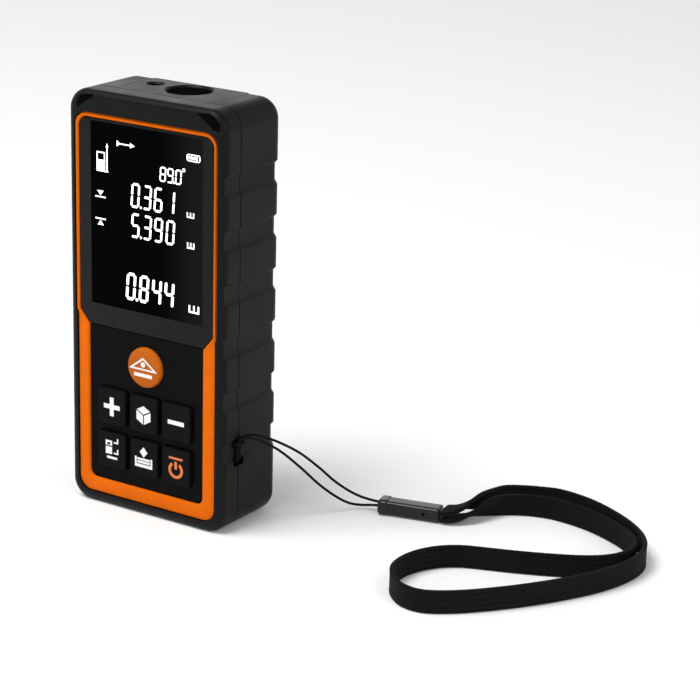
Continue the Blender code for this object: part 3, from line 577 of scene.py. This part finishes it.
def box_outline(left, bottom, right, top, radius=0.0):
    return rounded([(left, bottom, radius), (right, bottom, radius), (right, top, radius),
                    (left, top, radius)])


def circle(x, y, radius, steps):
    return [(x + radius * math.cos(math.tau * step / steps),
             y + radius * math.sin(math.tau * step / steps)) for step in range(steps)]


def frame_outline(grow):
    wide = FRAME_HALF + grow
    narrow = wide - JOG
    corner = FRAME_CORNER + grow
    bottom = FRAME_LOW.z - grow
    top = FRAME_HIGH.z + grow
    return rounded([(-narrow, bottom, corner), (narrow, bottom, corner),
                    (narrow, SHOULDER - SHOULDER_DROP, 0.3), (wide, SHOULDER, 0.3),
                    (wide, top, corner), (-wide, top, corner), (-wide, SHOULDER, 0.3),
                    (-narrow, SHOULDER - SHOULDER_DROP, 0.3)])


def fascia_outline(inset):
    """Inner edge of the orange frame, moved inwards."""
    wide = FRAME_HALF - LINE - inset
    narrow = FRAME_HALF - BAND - inset
    bottom = FRAME_LOW.z + BAND + inset
    top = FRAME_HIGH.z - LINE - inset
    return rounded([(-narrow, bottom, 2.0), (narrow, bottom, 2.0), (narrow, WAIST, 0.8),
                    (wide, SHOULDER, 0.8), (wide, top, 2.8), (-wide, top, 2.8),
                    (-wide, SHOULDER, 0.8), (-narrow, WAIST, 0.8)])


# ---- housing

def groove_path():
    """Line of a groove's floor seen from above, with the way out of the housing at each point."""
    inner = HALF - GROOVE_DEPTH
    rear = BACK - GROOVE_DEPTH
    path = [((inner, FRONT - 1.0), (1.0, 0.0)), ((inner, rear - BACK_RIM), (1.0, 0.0))]
    for step in range(1, 10):
        turn = math.radians(10 * step)
        way = (math.cos(turn), math.sin(turn))
        path.append(((inner - BACK_RIM + BACK_RIM * way[0], rear - BACK_RIM + BACK_RIM * way[1]),
                     way))
    path.append(((19.0, rear), (0.0, 1.0)))
    path.append(((17.0, BACK + 0.1), (0.0, 1.0)))
    return path


def groove_cutters(prefix):
    """Grooves with sloping upper and lower edges, swept down both sides and round the back."""
    made = []
    reach = 2.4
    upper = GROOVE_UPPER_SLOPE / GROOVE_DEPTH * reach
    lower = GROOVE_LOWER_SLOPE / GROOVE_DEPTH * reach
    for index in range(GROOVES):
        top = GROOVE_TOP - index * GROOVE_PITCH
        bottom = top - GROOVE_HEIGHT
        floor_top = top - GROOVE_UPPER_SLOPE
        floor_bottom = bottom + GROOVE_LOWER_SLOPE
        for side in (-1, 1):
            bm = bmesh.new()
            rings = []
            for (x, y), (out_x, out_y) in groove_path():
                outer = (side * (x + out_x * reach) * MM, (y + out_y * reach) * MM)
                inner = (side * x * MM, y * MM)
                rings.append([bm.verts.new((*inner, floor_bottom * MM)),
                              bm.verts.new((*inner, floor_top * MM)),
                              bm.verts.new((*outer, (floor_top + upper) * MM)),
                              bm.verts.new((*outer, (floor_bottom - lower) * MM))])
            join_rings(bm, rings, capped=True)
            made.append(close_mesh(f"{prefix}_groove_{index}_{side + 1}", bm))
    return made


def eye_cutters(prefix):
    made = [block(f"{prefix}_eye_{index}", (HALF - 4, EYE_FRONT, bottom),
                  (HALF + 2, EYE_BACK, top), axis=0, corner=0.9)
            for index, (bottom, top) in enumerate(EYE_SLOTS)]
    made.append(block(f"{prefix}_eye_relief", (HALF - 5, EYE_FRONT - 0.5, 16),
                      (HALF - 2.1, EYE_BACK + 0.5, 27)))
    return made


def front_shell():
    shell = block("front_shell_skin", (-HALF, FRONT, 0), (HALF, SEAM_FRONT, HEIGHT), "housing",
                  corner=CORNER, steps=12, rims=[(FRONT, FRONT_RIM), (SEAM_FRONT, SEAM_RIM)],
                  rim_steps=7)
    cutters = [flat("pocket_cut", [frame_outline(0.12)], FRONT - 2, FRAME_BACK + GAP),
               block("display_cut", (-19.4, FRONT, 6), (19.4, -5, 104), corner=1.5),
               block("cavity_cut", (-CAVITY_HALF - 0.3, -8.4, CAVITY_BOTTOM),
                     (CAVITY_HALF + 0.3, -4, CAVITY_TOP), corner=3.0)]
    carve(shell, cutters + groove_cutters("front") + eye_cutters("front"))
    even_shading(shell)
    seat(shell, ROOT, "housing", "front_shell")


def back_shell():
    shell = block("back_shell_skin", (-HALF, SEAM_BACK, 0), (HALF, BACK, HEIGHT), "housing",
                  corner=CORNER, steps=12, rims=[(BACK, BACK_RIM), (SEAM_BACK, SEAM_RIM)],
                  rim_steps=7)
    cutters = [block("lower_cut", (-CAVITY_HALF, -7, CAVITY_BOTTOM), (CAVITY_HALF, 9.9, 66),
                     corner=3.0),
               block("upper_cut", (-CAVITY_HALF, -7, 60), (CAVITY_HALF, 10.7, CAVITY_TOP),
                     corner=3.0)]
    carve(shell, cutters)
    bosses = []
    holes = []
    for row, z in enumerate(SCREW_ROWS):
        for side in (-1, 1):
            x = side * SCREW_X
            label = f"{row}_{side + 1}"
            bosses.append(rod(f"boss_{label}", (x, SEAM_BACK, z), (x, 11, z), BOSS_RADIUS))
            holes += [rod(f"hole_{label}", (x, -7, z), (x, 8, z), PILOT_RADIUS, sides=24),
                      rod(f"bore_{label}", (x, 4.1, z), (x, 14, z), BORE_RADIUS),
                      rod(f"sink_{label}", (x, BACK - 0.35, z), (x, BACK + 0.1, z), *SINK_RADII)]
    carve(shell, bosses, "UNION")
    cover_low, cover_high = limits("battery_cover")
    holes += [block("opening_cut", (-OPENING_HALF, 8, OPENING_BOTTOM),
                    (OPENING_HALF, 14, OPENING_TOP), corner=1.5),
              block("recess_cut",
                    (cover_low.x - COVER_GAP, cover_low.y - GAP, cover_low.z - COVER_GAP),
                    (cover_high.x + COVER_GAP, 14, cover_high.z + COVER_GAP), corner=2.15),
              rod("scoop_cut", (0, SCOOP_CENTRE, cover_high.z - 1.5),
                  (0, SCOOP_CENTRE, cover_high.z + 3.6), SCOOP_RADIUS),
              flat("plate_cut", [box_outline(PLATE_LOW[0] - PLATE_GAP, PLATE_LOW[1] - PLATE_GAP,
                                             PLATE_HIGH[0] + PLATE_GAP,
                                             PLATE_HIGH[1] + PLATE_GAP, 1.3)],
                   CAVITY_TOP - 1, HEIGHT + 2, axis="Z")]
    carve(shell, holes + groove_cutters("back") + eye_cutters("back"))
    even_shading(shell)
    seat(shell, ROOT, "housing", "back_shell")


def top_plate():
    insert = block("aperture_plate_skin", (*PLATE_LOW, CAVITY_TOP), (*PLATE_HIGH, HEIGHT),
                   "housing", axis=2, corner=1.2, rims=[(HEIGHT, 0.15)], rim_steps=2)
    cutters = []
    lip = 0.55
    for name, (x, y, mouth) in (("receiver", RECEIVER), ("laser", LASER)):
        cutters.append(rod(f"{name}_bore", (x, y, CAVITY_TOP - 1), (x, y, HEIGHT + 1),
                           mouth - lip, sides=72))
        cutters.append(rod(f"{name}_lip", (x, y, HEIGHT - lip), (x, y, HEIGHT + 0.1),
                           mouth - lip, end_radius=mouth + 0.1, sides=72))
    carve(insert, cutters)
    even_shading(insert)
    seat(insert, ROOT, "housing", "aperture_plate")


def battery_cover():
    low, high = limits("battery_cover")
    cover = block("battery_cover_skin", low, high, "housing", corner=2.0,
                  rims=[(high.y, 0.35)], rim_steps=4)
    ribs = [block(f"grip_rib_{index}", (-6, high.y - 0.35, high.z - 6.2 - 1.5 * index),
                  (6, high.y + 0.5, high.z - 5.6 - 1.5 * index), axis=1, corner=0.28, steps=4)
            for index in range(5)]
    carve(cover, ribs)
    even_shading(cover)
    seat(cover, "battery_cover", "housing", "battery_cover")


# ---- fascia

def orange_frame():
    """Frame with a sloping face and soft edges, lofted between its outer and inner outlines."""
    outer = FRONT + 0.45
    inner = FRONT - 0.1
    outer_edge = ((0.0, 0.3), (0.03, 0.15), (0.12, 0.03), (0.28, 0.0))      # inset, depth
    inner_edge = ((0.62, 0.0), (0.4, 0.04), (0.2, 0.16), (0.05, 0.34), (0.0, 0.6))
    sections = [(frame_outline(0.0), FRAME_BACK)]
    sections += [(frame_outline(-inset), outer + depth) for inset, depth in outer_edge]
    sections += [(fascia_outline(-inset), inner + depth) for inset, depth in inner_edge]
    sections.append((fascia_outline(0.0), FRAME_BACK))
    bm = bmesh.new()
    rings = [[bm.verts.new((x * MM, y * MM, z * MM)) for x, z in outline]
             for outline, y in sections]
    join_rings(bm, rings + rings[:1])
    frame_piece = close_mesh("orange_frame_skin", bm, "orange", angle=50)
    seat(frame_piece, ROOT, "orange", "orange_frame")


def display_window():
    low, high = limits("display_window")
    side = FRAME_HALF - LINE - 0.12
    narrow = FRAME_HALF - BAND - 0.1
    outline = rounded([(-narrow, low.z, 0.4), (narrow, low.z, 0.4), (side, SHOULDER + 0.2, 0.6),
                       (side, high.z + 0.15, 2.6), (-side, high.z + 0.15, 2.6),
                       (-side, SHOULDER + 0.2, 0.6)])
    window = flat("window_skin", [outline], low.y, high.y, "bezel", edge=0.12)
    seat(window, ROOT, "window", "display_window")
    screen = flat("screen_area", [box_outline(LCD_CENTRE - LCD_HALF, LCD_BOTTOM,
                                              LCD_CENTRE + LCD_HALF, LCD_TOP, 0.5)],
                  low.y - 0.02, low.y + 0.1, "screen")
    seat(screen, ROOT, "lcd")


def keypad():
    low, high = limits("keypad_panel")
    holes = [circle(0, READ_Z, READ_RADIUS + KEY_GAP, 72)]
    half_width = KEY_WIDTH / 2 + KEY_GAP
    half_height = KEY_HEIGHT / 2 + KEY_GAP
    for row in KEY_ROWS:
        for column in (-1, 0, 1):
            x = column * KEY_COLUMN
            holes.append(box_outline(x - half_width, row - half_height, x + half_width,
                                     row + half_height, 1.25))
    narrow = FRAME_HALF - BAND - 0.12
    outline = rounded([(-narrow, low.z - 0.15, 1.9), (narrow, low.z - 0.15, 1.9),
                       (narrow, high.z, 0.4), (-narrow, high.z, 0.4)])
    panel = flat("keypad_skin", [outline] + holes, low.y, high.y, "fascia")
    seat(panel, ROOT, "fascia", "keypad_panel")


def key_caps():
    _, panel_back = limits("keypad_panel")
    lip_front = panel_back.y + GAP
    for row, names in zip(KEY_ROWS, KEY_NAMES):
        for column, name in zip((-1, 0, 1), names):
            low, high = limits(name)
            x = column * KEY_COLUMN
            cap = block(f"{name}_cap", (x - KEY_WIDTH / 2, low.y, row - KEY_HEIGHT / 2),
                        (x + KEY_WIDTH / 2, lip_front + 0.01, row + KEY_HEIGHT / 2), "key rubber",
                        corner=1.0, rims=[(low.y, 0.32)])
            lip = block(f"{name}_lip", (low.x, lip_front, low.z),
                        (high.x, lip_front + 0.8, high.z), corner=1.3)
            stem = rod(f"{name}_stem", (x, lip_front + 0.4, row), (x, high.y, row), 1.5)
            carve(cap, (lip, stem), "UNION")
            even_shading(cap)
            seat(cap, name, "keys", name)


def read_cap():
    _, panel_back = limits("keypad_panel")
    low, high = limits("read_button")
    face = -low.y
    lip = -(panel_back.y + GAP)
    profile = [(0, face), (READ_RADIUS - 2.4, face - 0.02), (READ_RADIUS - 1.2, face - 0.08),
               (READ_RADIUS - 0.6, face - 0.2), (READ_RADIUS - 0.24, face - 0.4),
               (READ_RADIUS - 0.05, face - 0.68), (READ_RADIUS, face - 0.95),
               (READ_RADIUS, lip), (high.x, lip), (high.x, lip - 0.8), (1.5, lip - 0.8),
               (1.5, -high.y), (0, -high.y)]
    button = turned("read_cap", profile, "button orange", (0, 0, READ_Z), (0, -1, 0), steps=96)
    seat(button, "read_button", "orange", "read_button")


# ---- printed marks

class Marks:
    """Flat marks on a node's front face, in millimetres: x to the right and z up."""

    def __init__(self, node, shift=0.0, thickness=KEY_MARK):
        front = limits(node)[0].y + shift
        self.front = (front - thickness) * MM
        self.back = (front + thickness) * MM
        self.bm = bmesh.new()

    def vertex(self, x, z, near):
        return self.bm.verts.new((x * MM, self.front if near else self.back, z * MM))

    def patch(self, outline):
        near = [self.vertex(x, z, True) for x, z in outline]
        far = [self.vertex(x, z, False) for x, z in outline]
        self.bm.faces.new(near)
        count = len(outline)
        for index in range(count):
            after = (index + 1) % count
            self.bm.faces.new((near[index], far[index], far[after], near[after]))

    def box(self, left, bottom, right, top):
        self.patch(box_outline(left, bottom, right, top))

    def disc(self, x, z, radius):
        self.patch(circle(x, z, radius, 32))

    def line(self, points, width, closed=False):
        """Line of one width with mitred corners."""
        points = [Vector(point) for point in points]
        count = len(points)
        rails = []
        for index, point in enumerate(points):
            ways = []
            if closed or index > 0:
                ways.append((point - points[index - 1]).normalized())
            if closed or index < count - 1:
                ways.append((points[(index + 1) % count] - point).normalized())
            along = sum(ways, Vector((0, 0))).normalized()
            across = Vector((-along.y, along.x))
            reach = width / 2 / max(0.35, along.dot(ways[0]))
            rails.append((point + across * reach, point - across * reach))
        spans = range(count if closed else count - 1)
        for index in spans:
            after = (index + 1) % count
            self.patch([rails[index][0], rails[index][1], rails[after][1], rails[after][0]])

    def arc(self, x, z, radius, start, end, width):
        steps = 28
        turns = [math.radians(start + (end - start) * step / steps) for step in range(steps + 1)]
        self.line([(x + radius * math.cos(turn), z + radius * math.sin(turn)) for turn in turns],
                  width)

    def ring(self, x, z, radius, width):
        self.line(circle(x, z, radius, 36), width, closed=True)

    def finish(self, name, look, body, slot):
        seat(close_mesh(name, self.bm, look), body, slot)


SEGMENTS = {
    "0": "abcdef", "1": "bc", "3": "abcdg", "4": "bcfg", "5": "acdfg", "6": "acdefg",
    "8": "abcdefg", "9": "abcdfg",
}


def numeral(marks, digit, left, bottom, width, height, stroke):
    """One slanted seven-segment numeral: a is the top bar, then clockwise, and g the middle."""
    lean = 0.07
    gap = stroke * 0.16
    west, east = stroke / 2, width - stroke / 2
    south, middle, north = stroke / 2, height / 2, height - stroke / 2
    ends = {
        "a": ((west, north), (east, north)), "b": ((east, north), (east, middle)),
        "c": ((east, middle), (east, south)), "d": ((west, south), (east, south)),
        "e": ((west, middle), (west, south)), "f": ((west, north), (west, middle)),
        "g": ((west, middle), (east, middle)),
    }
    for segment in SEGMENTS[digit]:
        start, end = (Vector(point) for point in ends[segment])
        way = (end - start).normalized()
        side = Vector((-way.y, way.x)) * stroke / 2
        start = start + way * gap
        end = end - way * gap
        shoulder = way * stroke * 0.34
        outline = [start, start + shoulder + side, end - shoulder + side, end,
                   end - shoulder - side, start + shoulder - side]
        marks.patch([(left + point.x + point.y * lean, bottom + point.y) for point in outline])


def reading(marks, digits, lefts, bottom, width, height, stroke):
    for digit, left in zip(digits, lefts):
        numeral(marks, digit, left, bottom, width, height, stroke)


def ruler_mark(marks, left, bottom, width, height):
    """Unit of length shown as a little ruler: a base line with three ticks."""
    stroke = height * 0.24
    marks.box(left, bottom, left + width, bottom + stroke)
    for step in range(3):
        x = left + (width - stroke) * step / 2
        marks.box(x, bottom + stroke, x + stroke, bottom + height)


def limit_mark(marks, left, bottom, upwards):
    """Smallest and largest value: a bar with a triangle below or above it."""
    if upwards:
        marks.box(left, bottom + 1.5, left + 3.4, bottom + 1.85)
        tip, base = bottom + 1.3, bottom
    else:
        marks.box(left, bottom, left + 3.4, bottom + 0.35)
        tip, base = bottom + 0.55, bottom + 1.85
    marks.patch([(left + 0.7, base), (left + 2.7, base), (left + 1.7, tip)])


def display_marks():
    marks = Marks("display_window", -0.03, 0.02)
    # Status line: device with its measuring edge, arrow, battery
    marks.line([(-15.5, 94.2), (-13.1, 94.2), (-13.1, 96.3), (-15.5, 96.3)], 0.35, closed=True)
    marks.box(-15.68, 91.6, -12.92, 94.3)
    marks.box(-15.68, 91.3, -11.9, 91.6)
    marks.box(-12.45, 91.6, -12.1, 98.0)
    marks.patch([(-12.7, 97.9), (-11.85, 97.9), (-12.28, 98.9)])
    marks.box(-9.1, 98.7, -8.7, 100.1)
    marks.patch([(-8.7, 98.9), (-8.7, 99.9), (-7.9, 99.4)])
    marks.line([(-8.2, 99.4), (-4.6, 99.4)], 0.32)
    marks.patch([(-4.8, 98.7), (-3.3, 99.4), (-4.8, 100.1)])
    marks.line(box_outline(13.2, 98.3, 17.2, 99.9, 0.5), 0.28, closed=True)
    for step in range(4):
        marks.box(13.65 + 0.78 * step, 98.7, 14.2 + 0.78 * step, 99.5)
    # Angle
    reading(marks, "89", (4.5, 6.85), 91.6, 2.0, 3.9, 0.42)
    marks.disc(9.1, 91.85, 0.25)
    reading(marks, "0", (9.4,), 91.6, 2.0, 3.9, 0.42)
    marks.ring(12.2, 95.6, 0.38, 0.2)
    # Smallest, largest and latest length
    reading(marks, "0361", (-4.75, -0.95, 2.6, 6.4), 83.4, 2.75, 6.5, 0.62)
    marks.disc(-1.4, 83.75, 0.34)
    reading(marks, "5390", (-4.75, -0.95, 2.6, 6.4), 75.5, 2.75, 6.5, 0.62)
    marks.disc(-1.4, 75.85, 0.34)
    reading(marks, "0844", (-6.45, -2.25, 1.85, 5.85), 58.6, 3.1, 7.4, 0.8)
    marks.disc(-2.75, 59.05, 0.42)
    ruler_mark(marks, 13.2, 83.6, 2.3, 1.4)
    ruler_mark(marks, 13.3, 75.6, 2.3, 1.6)
    ruler_mark(marks, 13.9, 58.8, 3.3, 2.0)
    limit_mark(marks, -16.2, 84.4, False)
    limit_mark(marks, -16.2, 77.1, True)
    marks.finish("display_marks", "display light", ROOT, "lcd")


def key_marks():
    upper, lower = KEY_ROWS
    left, right = -KEY_COLUMN, KEY_COLUMN

    plus = Marks("key_plus")
    plus.box(left - 2.65, upper - 0.62, left + 2.65, upper + 0.62)
    plus.box(left - 0.65, upper + 0.62, left + 0.65, upper + 2.6)
    plus.box(left - 0.65, upper - 2.6, left + 0.65, upper - 0.62)
    plus.finish("plus_mark", "white ink", "key_plus", "keys")

    minus = Marks("key_minus")
    minus.box(right - 2.6, upper - 0.58, right + 2.6, upper + 0.58)
    minus.finish("minus_mark", "white ink", "key_minus", "keys")

    cube = Marks("key_cube")
    middle = upper - 0.2
    cube.patch([(0, middle + 2.6), (2.15, middle + 1.45), (0, middle + 0.3),
                (-2.15, middle + 1.45)])
    for side in (-1, 1):
        cube.patch([(side * 0.17, middle), (side * 2.3, middle + 1.15),
                    (side * 2.3, middle - 1.25), (side * 0.17, middle - 2.5)])
    cube.finish("cube_mark", "white ink", "key_cube", "keys")

    unit = Marks("key_unit")
    unit.box(left - 2.1, lower - 1.1, left, lower + 1.3)
    unit.line([(left - 1.85, lower + 1.2), (left - 0.25, lower + 1.2), (left - 0.25, lower + 2.4),
               (left - 1.85, lower + 2.4)], 0.55, closed=True)
    for foot in (2.3, -0.7):
        unit.line([(left + 0.6, lower + foot), (left + 1.9, lower + foot),
                   (left + 1.9, lower + foot + 1.25)], 0.42)
    unit.box(left - 1.7, lower - 2.4, left + 1.7, lower - 1.75)
    unit.finish("unit_mark", "white ink", "key_unit", "keys")

    level = Marks("key_level")
    level.box(-2.85, lower - 2.5, 2.85, lower - 1.65)
    for side in (-1, 1):
        inner, outer = sorted((side * 2.3, side * 2.85))
        level.box(inner, lower - 1.65, outer, lower + 0.3)
    level.box(-2.05, lower - 1.4, 2.05, lower - 0.75)
    level.box(-2.05, lower - 0.55, 2.05, lower + 0.05)
    level.patch([(0, lower + 0.35), (1.3, lower + 1.75), (0, lower + 3.2), (-1.3, lower + 1.75)])
    level.finish("level_mark", "white ink", "key_level", "keys")

    power = Marks("key_power")
    power.arc(right, lower - 0.8, 1.95, 125, 415, 0.8)
    power.box(right - 0.4, lower - 0.6, right + 0.4, lower + 1.5)
    power.box(right - 2.2, lower + 2.1, right + 2.2, lower + 2.7)
    power.finish("power_mark", "orange ink", "key_power", "keys")

    read = Marks("read_button", 0.01)
    read.line([(0, READ_Z + 2.65), (-3.95, READ_Z - 0.3), (3.95, READ_Z - 0.3)], 0.48, closed=True)
    read.disc(0, READ_Z + 1.0, 0.72)
    read.box(-2.9, READ_Z - 2.35, 2.9, READ_Z - 1.4)
    read.finish("read_mark", "white ink", "read_button", "orange")


def corner_darts():
    """Dark inlays in the two upper front corners, following the curved rim."""
    shapes = (
        ((-20.6, 110.5), (-16.7, 111.1), (-16.5, 110.4), (-19.0, 109.0), (-21.6, 107.1),
         (-21.8, 108.6), (-21.3, 109.7)),
        ((16.5, 110.8), (20.2, 111.1), (22.0, 110.1), (23.3, 108.8), (23.3, 107.0),
         (21.7, 107.0), (19.6, 108.5), (17.1, 110.2)),
    )
    for label, shape in zip(("left", "right"), shapes):
        skin = block(f"dart_{label}", (-HALF - 0.02, FRONT - 0.02, 50),
                     (HALF + 0.02, SEAM_FRONT, HEIGHT + 0.02), "dark inlay", corner=CORNER,
                     steps=12, rims=[(FRONT - 0.02, FRONT_RIM)], rim_steps=7)
        carve(skin, [flat("dart_cut", [shape], FRONT - 1, FRONT + 1.6)], "INTERSECT")
        seat(skin, ROOT, "housing")


# ---- optics

def lenses():
    low, high = limits("receiver_lens")
    radius = (high.x - low.x) / 2
    crown = high.z - low.z
    dome = [(radius * step / 12, crown - 1.2 * (step / 12) ** 2) for step in range(13)]
    glass = turned("receiver_glass", dome + [(radius, 0), (0, 0)], "coated lens",
                   (RECEIVER[0], RECEIVER[1], low.z), (0, 0, 1), steps=96)
    seat(glass, ROOT, "lens", "receiver_lens")


# ---- wrist strap

def smooth_route(route, spacing):
    """Points on one smooth curve through the route, with its other values carried along."""
    places = [Vector(stop[:3]) for stop in route]
    count = len(places)
    samples = []
    for index in range(count - 1):
        start = places[index]
        end = places[index + 1]
        before = places[max(index - 1, 0)]
        after = places[min(index + 2, count - 1)]
        reach = (end - start).length / 3
        leave = start + (end - before).normalized() * reach
        arrive = end - (after - start).normalized() * reach
        steps = max(1, round((end - start).length / spacing))
        curve = interpolate_bezier(start, leave, arrive, end, steps + 1)
        for step in range(steps):
            share = step / steps
            extra = [a + (b - a) * share for a, b in zip(route[index][3:], route[index + 1][3:])]
            samples.append((curve[step], extra))
    samples.append((places[-1], list(route[-1][3:])))
    return samples


def travel(points):
    """Distance along the points at each of them."""
    marks = [0.0]
    for first, second in zip(points, points[1:]):
        marks.append(marks[-1] + (second - first).length)
    return marks


def tangents(points):
    last = len(points) - 1
    return [(points[min(index + 1, last)] - points[max(index - 1, 0)]).normalized()
            for index in range(last + 1)]


def skin_of_rings(name, rings, look, uvs=None):
    """Closed tube through rings of points, its ends capped."""
    bm = bmesh.new()
    layer = bm.loops.layers.uv.new("weave") if uvs else None
    faces = join_rings(bm, [[bm.verts.new(place * MM) for place in ring] for ring in rings],
                       capped=True)
    for number, face in enumerate(faces if uvs else ()):
        index, side = divmod(number, len(rings[0]))
        corners = (uvs(index, side), uvs(index, side + 1), uvs(index + 1, side + 1),
                   uvs(index + 1, side))
        for loop, uv in zip(face.loops, corners):
            loop[layer].uv = uv
    return close_mesh(name, bm, look, angle=60)


def strap_cord():
    """Thin braided cord: two strands crossing over and under as raised diamonds."""
    sides = 24
    points = [place for place, _ in smooth_route(CORD_ROUTE, 0.16)]
    distance = travel(points)
    ways = tangents(points)
    across = ways[0].orthogonal().normalized()
    rings = []
    for place, way, along in zip(points, ways, distance):
        across = (across - way * across.dot(way)).normalized()
        upright = way.cross(across)
        ring = []
        for side in range(sides):
            turn = math.tau * side / sides
            lay = math.tau * along / 1.5
            relief = abs(math.sin(2 * turn + lay)) * abs(math.sin(2 * turn - lay))
            radius = CORD_DIAMETER / 2 * (0.9 + 0.14 * relief)
            ring.append(place + (across * math.cos(turn) + upright * math.sin(turn)) * radius)
        rings.append(ring)
    cord = skin_of_rings("strap_cord_braid", rings, "braid")
    seat(cord, ROOT, "cord", "strap_cord")
    [place * MM for place in points[::4]]


def webbing_section(columns=14):
    """(across, through) shares of a half width and half thickness, round the band's edge."""
    top = [(-1 + 2 * (step + 0.5) / columns, 1.0) for step in range(columns)]
    right = [(1.0, 0.6), (1.03, 0.0), (1.0, -0.6)]
    bottom = [(-across, -1.0) for across, _ in top]
    left = [(-1.0, -0.6), (-1.03, 0.0), (-1.0, 0.6)]
    return top + right + bottom + left


def strap_webbing(clasp):
    """Woven band with thicker selvedges and scalloped edges; its ribs are in the material."""
    samples = smooth_route(WEB_ROUTE, 0.5)
    points = [place for place, _ in samples]
    distance = travel(points)
    ways = tangents(points)
    section = webbing_section()
    rings = []
    for (place, (lean, size)), way, along in zip(samples, ways, distance):
        across = (Vector((0, 0, 1)) - way * way.z).normalized()
        turn = Matrix.Rotation(math.radians(lean), 3, way)
        across = turn @ across
        through = way.cross(across)
        ring = []
        for share, side in section:
            selvedge = 1.0 if abs(share) > 0.84 else 0.9
            edge = 0.07 * abs(math.sin(math.pi * along / 0.8)) if abs(share) > 0.9 else 0.0
            width = ((WEB_WIDTH / 2 - 0.1) * share + math.copysign(edge, share)) * size
            thick = WEB_THICKNESS / 2 * size * side * selvedge
            ring.append(place + across * width + through * thick)
        rings.append(ring)

    girth = [0.0]
    for first, second in zip(section, section[1:] + section[:1]):
        step = Vector(((second[0] - first[0]) * WEB_WIDTH / 2,
                       (second[1] - first[1]) * WEB_THICKNESS / 2))
        girth.append(girth[-1] + step.length)

    def uv(index, side):
        return girth[side], distance[index]

    band = skin_of_rings("strap_webbing_weave", rings, "webbing", uv)
    seat(band, ROOT, "webbing", "strap_webbing")
    [place * MM for place in points[::2]]


def strap_clasp():
    """Glossy clasp: collar at the cord end, flattened cheeks, a dimple near the webbing."""
    way = SLIDER_END - SLIDER_START
    length = way.length
    half = SLIDER_WIDTH / 2
    body = block("clasp_skin", (0.8, -half + 0.25, 0.2), (length, half - 0.25,
                 SLIDER_HEIGHT - 0.2), "clasp", axis=0, corner=1.1,
                 rims=[(0.8, 0.4), (length, 0.55)])
    collar = block("clasp_collar", (0, -half, 0), (2.6, half, SLIDER_HEIGHT), axis=0,
                   corner=1.3, rims=[(0, 0.6), (2.6, 0.35)])
    carve(body, [collar], "UNION")
    cuts = [block(f"clasp_cheek_{side + 1}", (4.4, side * half - 0.4, 0.9),
                  (length - 2.6, side * half + 0.4, SLIDER_HEIGHT - 0.9), corner=0.5)
            for side in (-1, 1)]
    cuts.append(rod("clasp_dimple", (length - 4.2, -half - 1, SLIDER_HEIGHT / 2),
                    (length - 4.2, -half + 1.2, SLIDER_HEIGHT / 2), 0.45))
    cuts.append(block("clasp_mouth", (-1, -1.1, 0.9), (1.0, 1.1, 3.4), axis=0, corner=0.6))
    carve(body, cuts)
    turn = Matrix.Rotation(math.atan2(way.y, way.x), 4, "Z")
    body.data.transform(Matrix.Translation(SLIDER_START * MM) @ turn)
    even_shading(body)
    return seat(body, ROOT, "clasp", "strap_slider")


# ---- CAD nodes that stay

CAD_LOOKS = {
    "housing": "housing", "orange": "orange", "fascia": "fascia", "window": "bezel",
    "keys": "key rubber", "lcd": "screen", "light_guide": "light guide", "flex": "flex",
    "board": "board", "chip": "chip", "steel": "steel", "brass": "brass",
    "lens": "coated lens", "inner_plastic": "inner plastic", "cell": "cell sleeve",
    "cord": "braid", "webbing": "webbing", "clasp": "clasp",
}


def dress_frame():
    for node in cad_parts.values():
        look = CAD_LOOKS[node.data.materials[0].name.split(".")[0]]
        node.data.materials[0] = MATERIALS[look]


make_materials()
camera()
studio()
dress_frame()
strap_cord()
strap_webbing(strap_clasp())
front_shell()
back_shell()
top_plate()
battery_cover()
orange_frame()
display_window()
keypad()
key_caps()
read_cap()
display_marks()
key_marks()
corner_darts()
lenses()
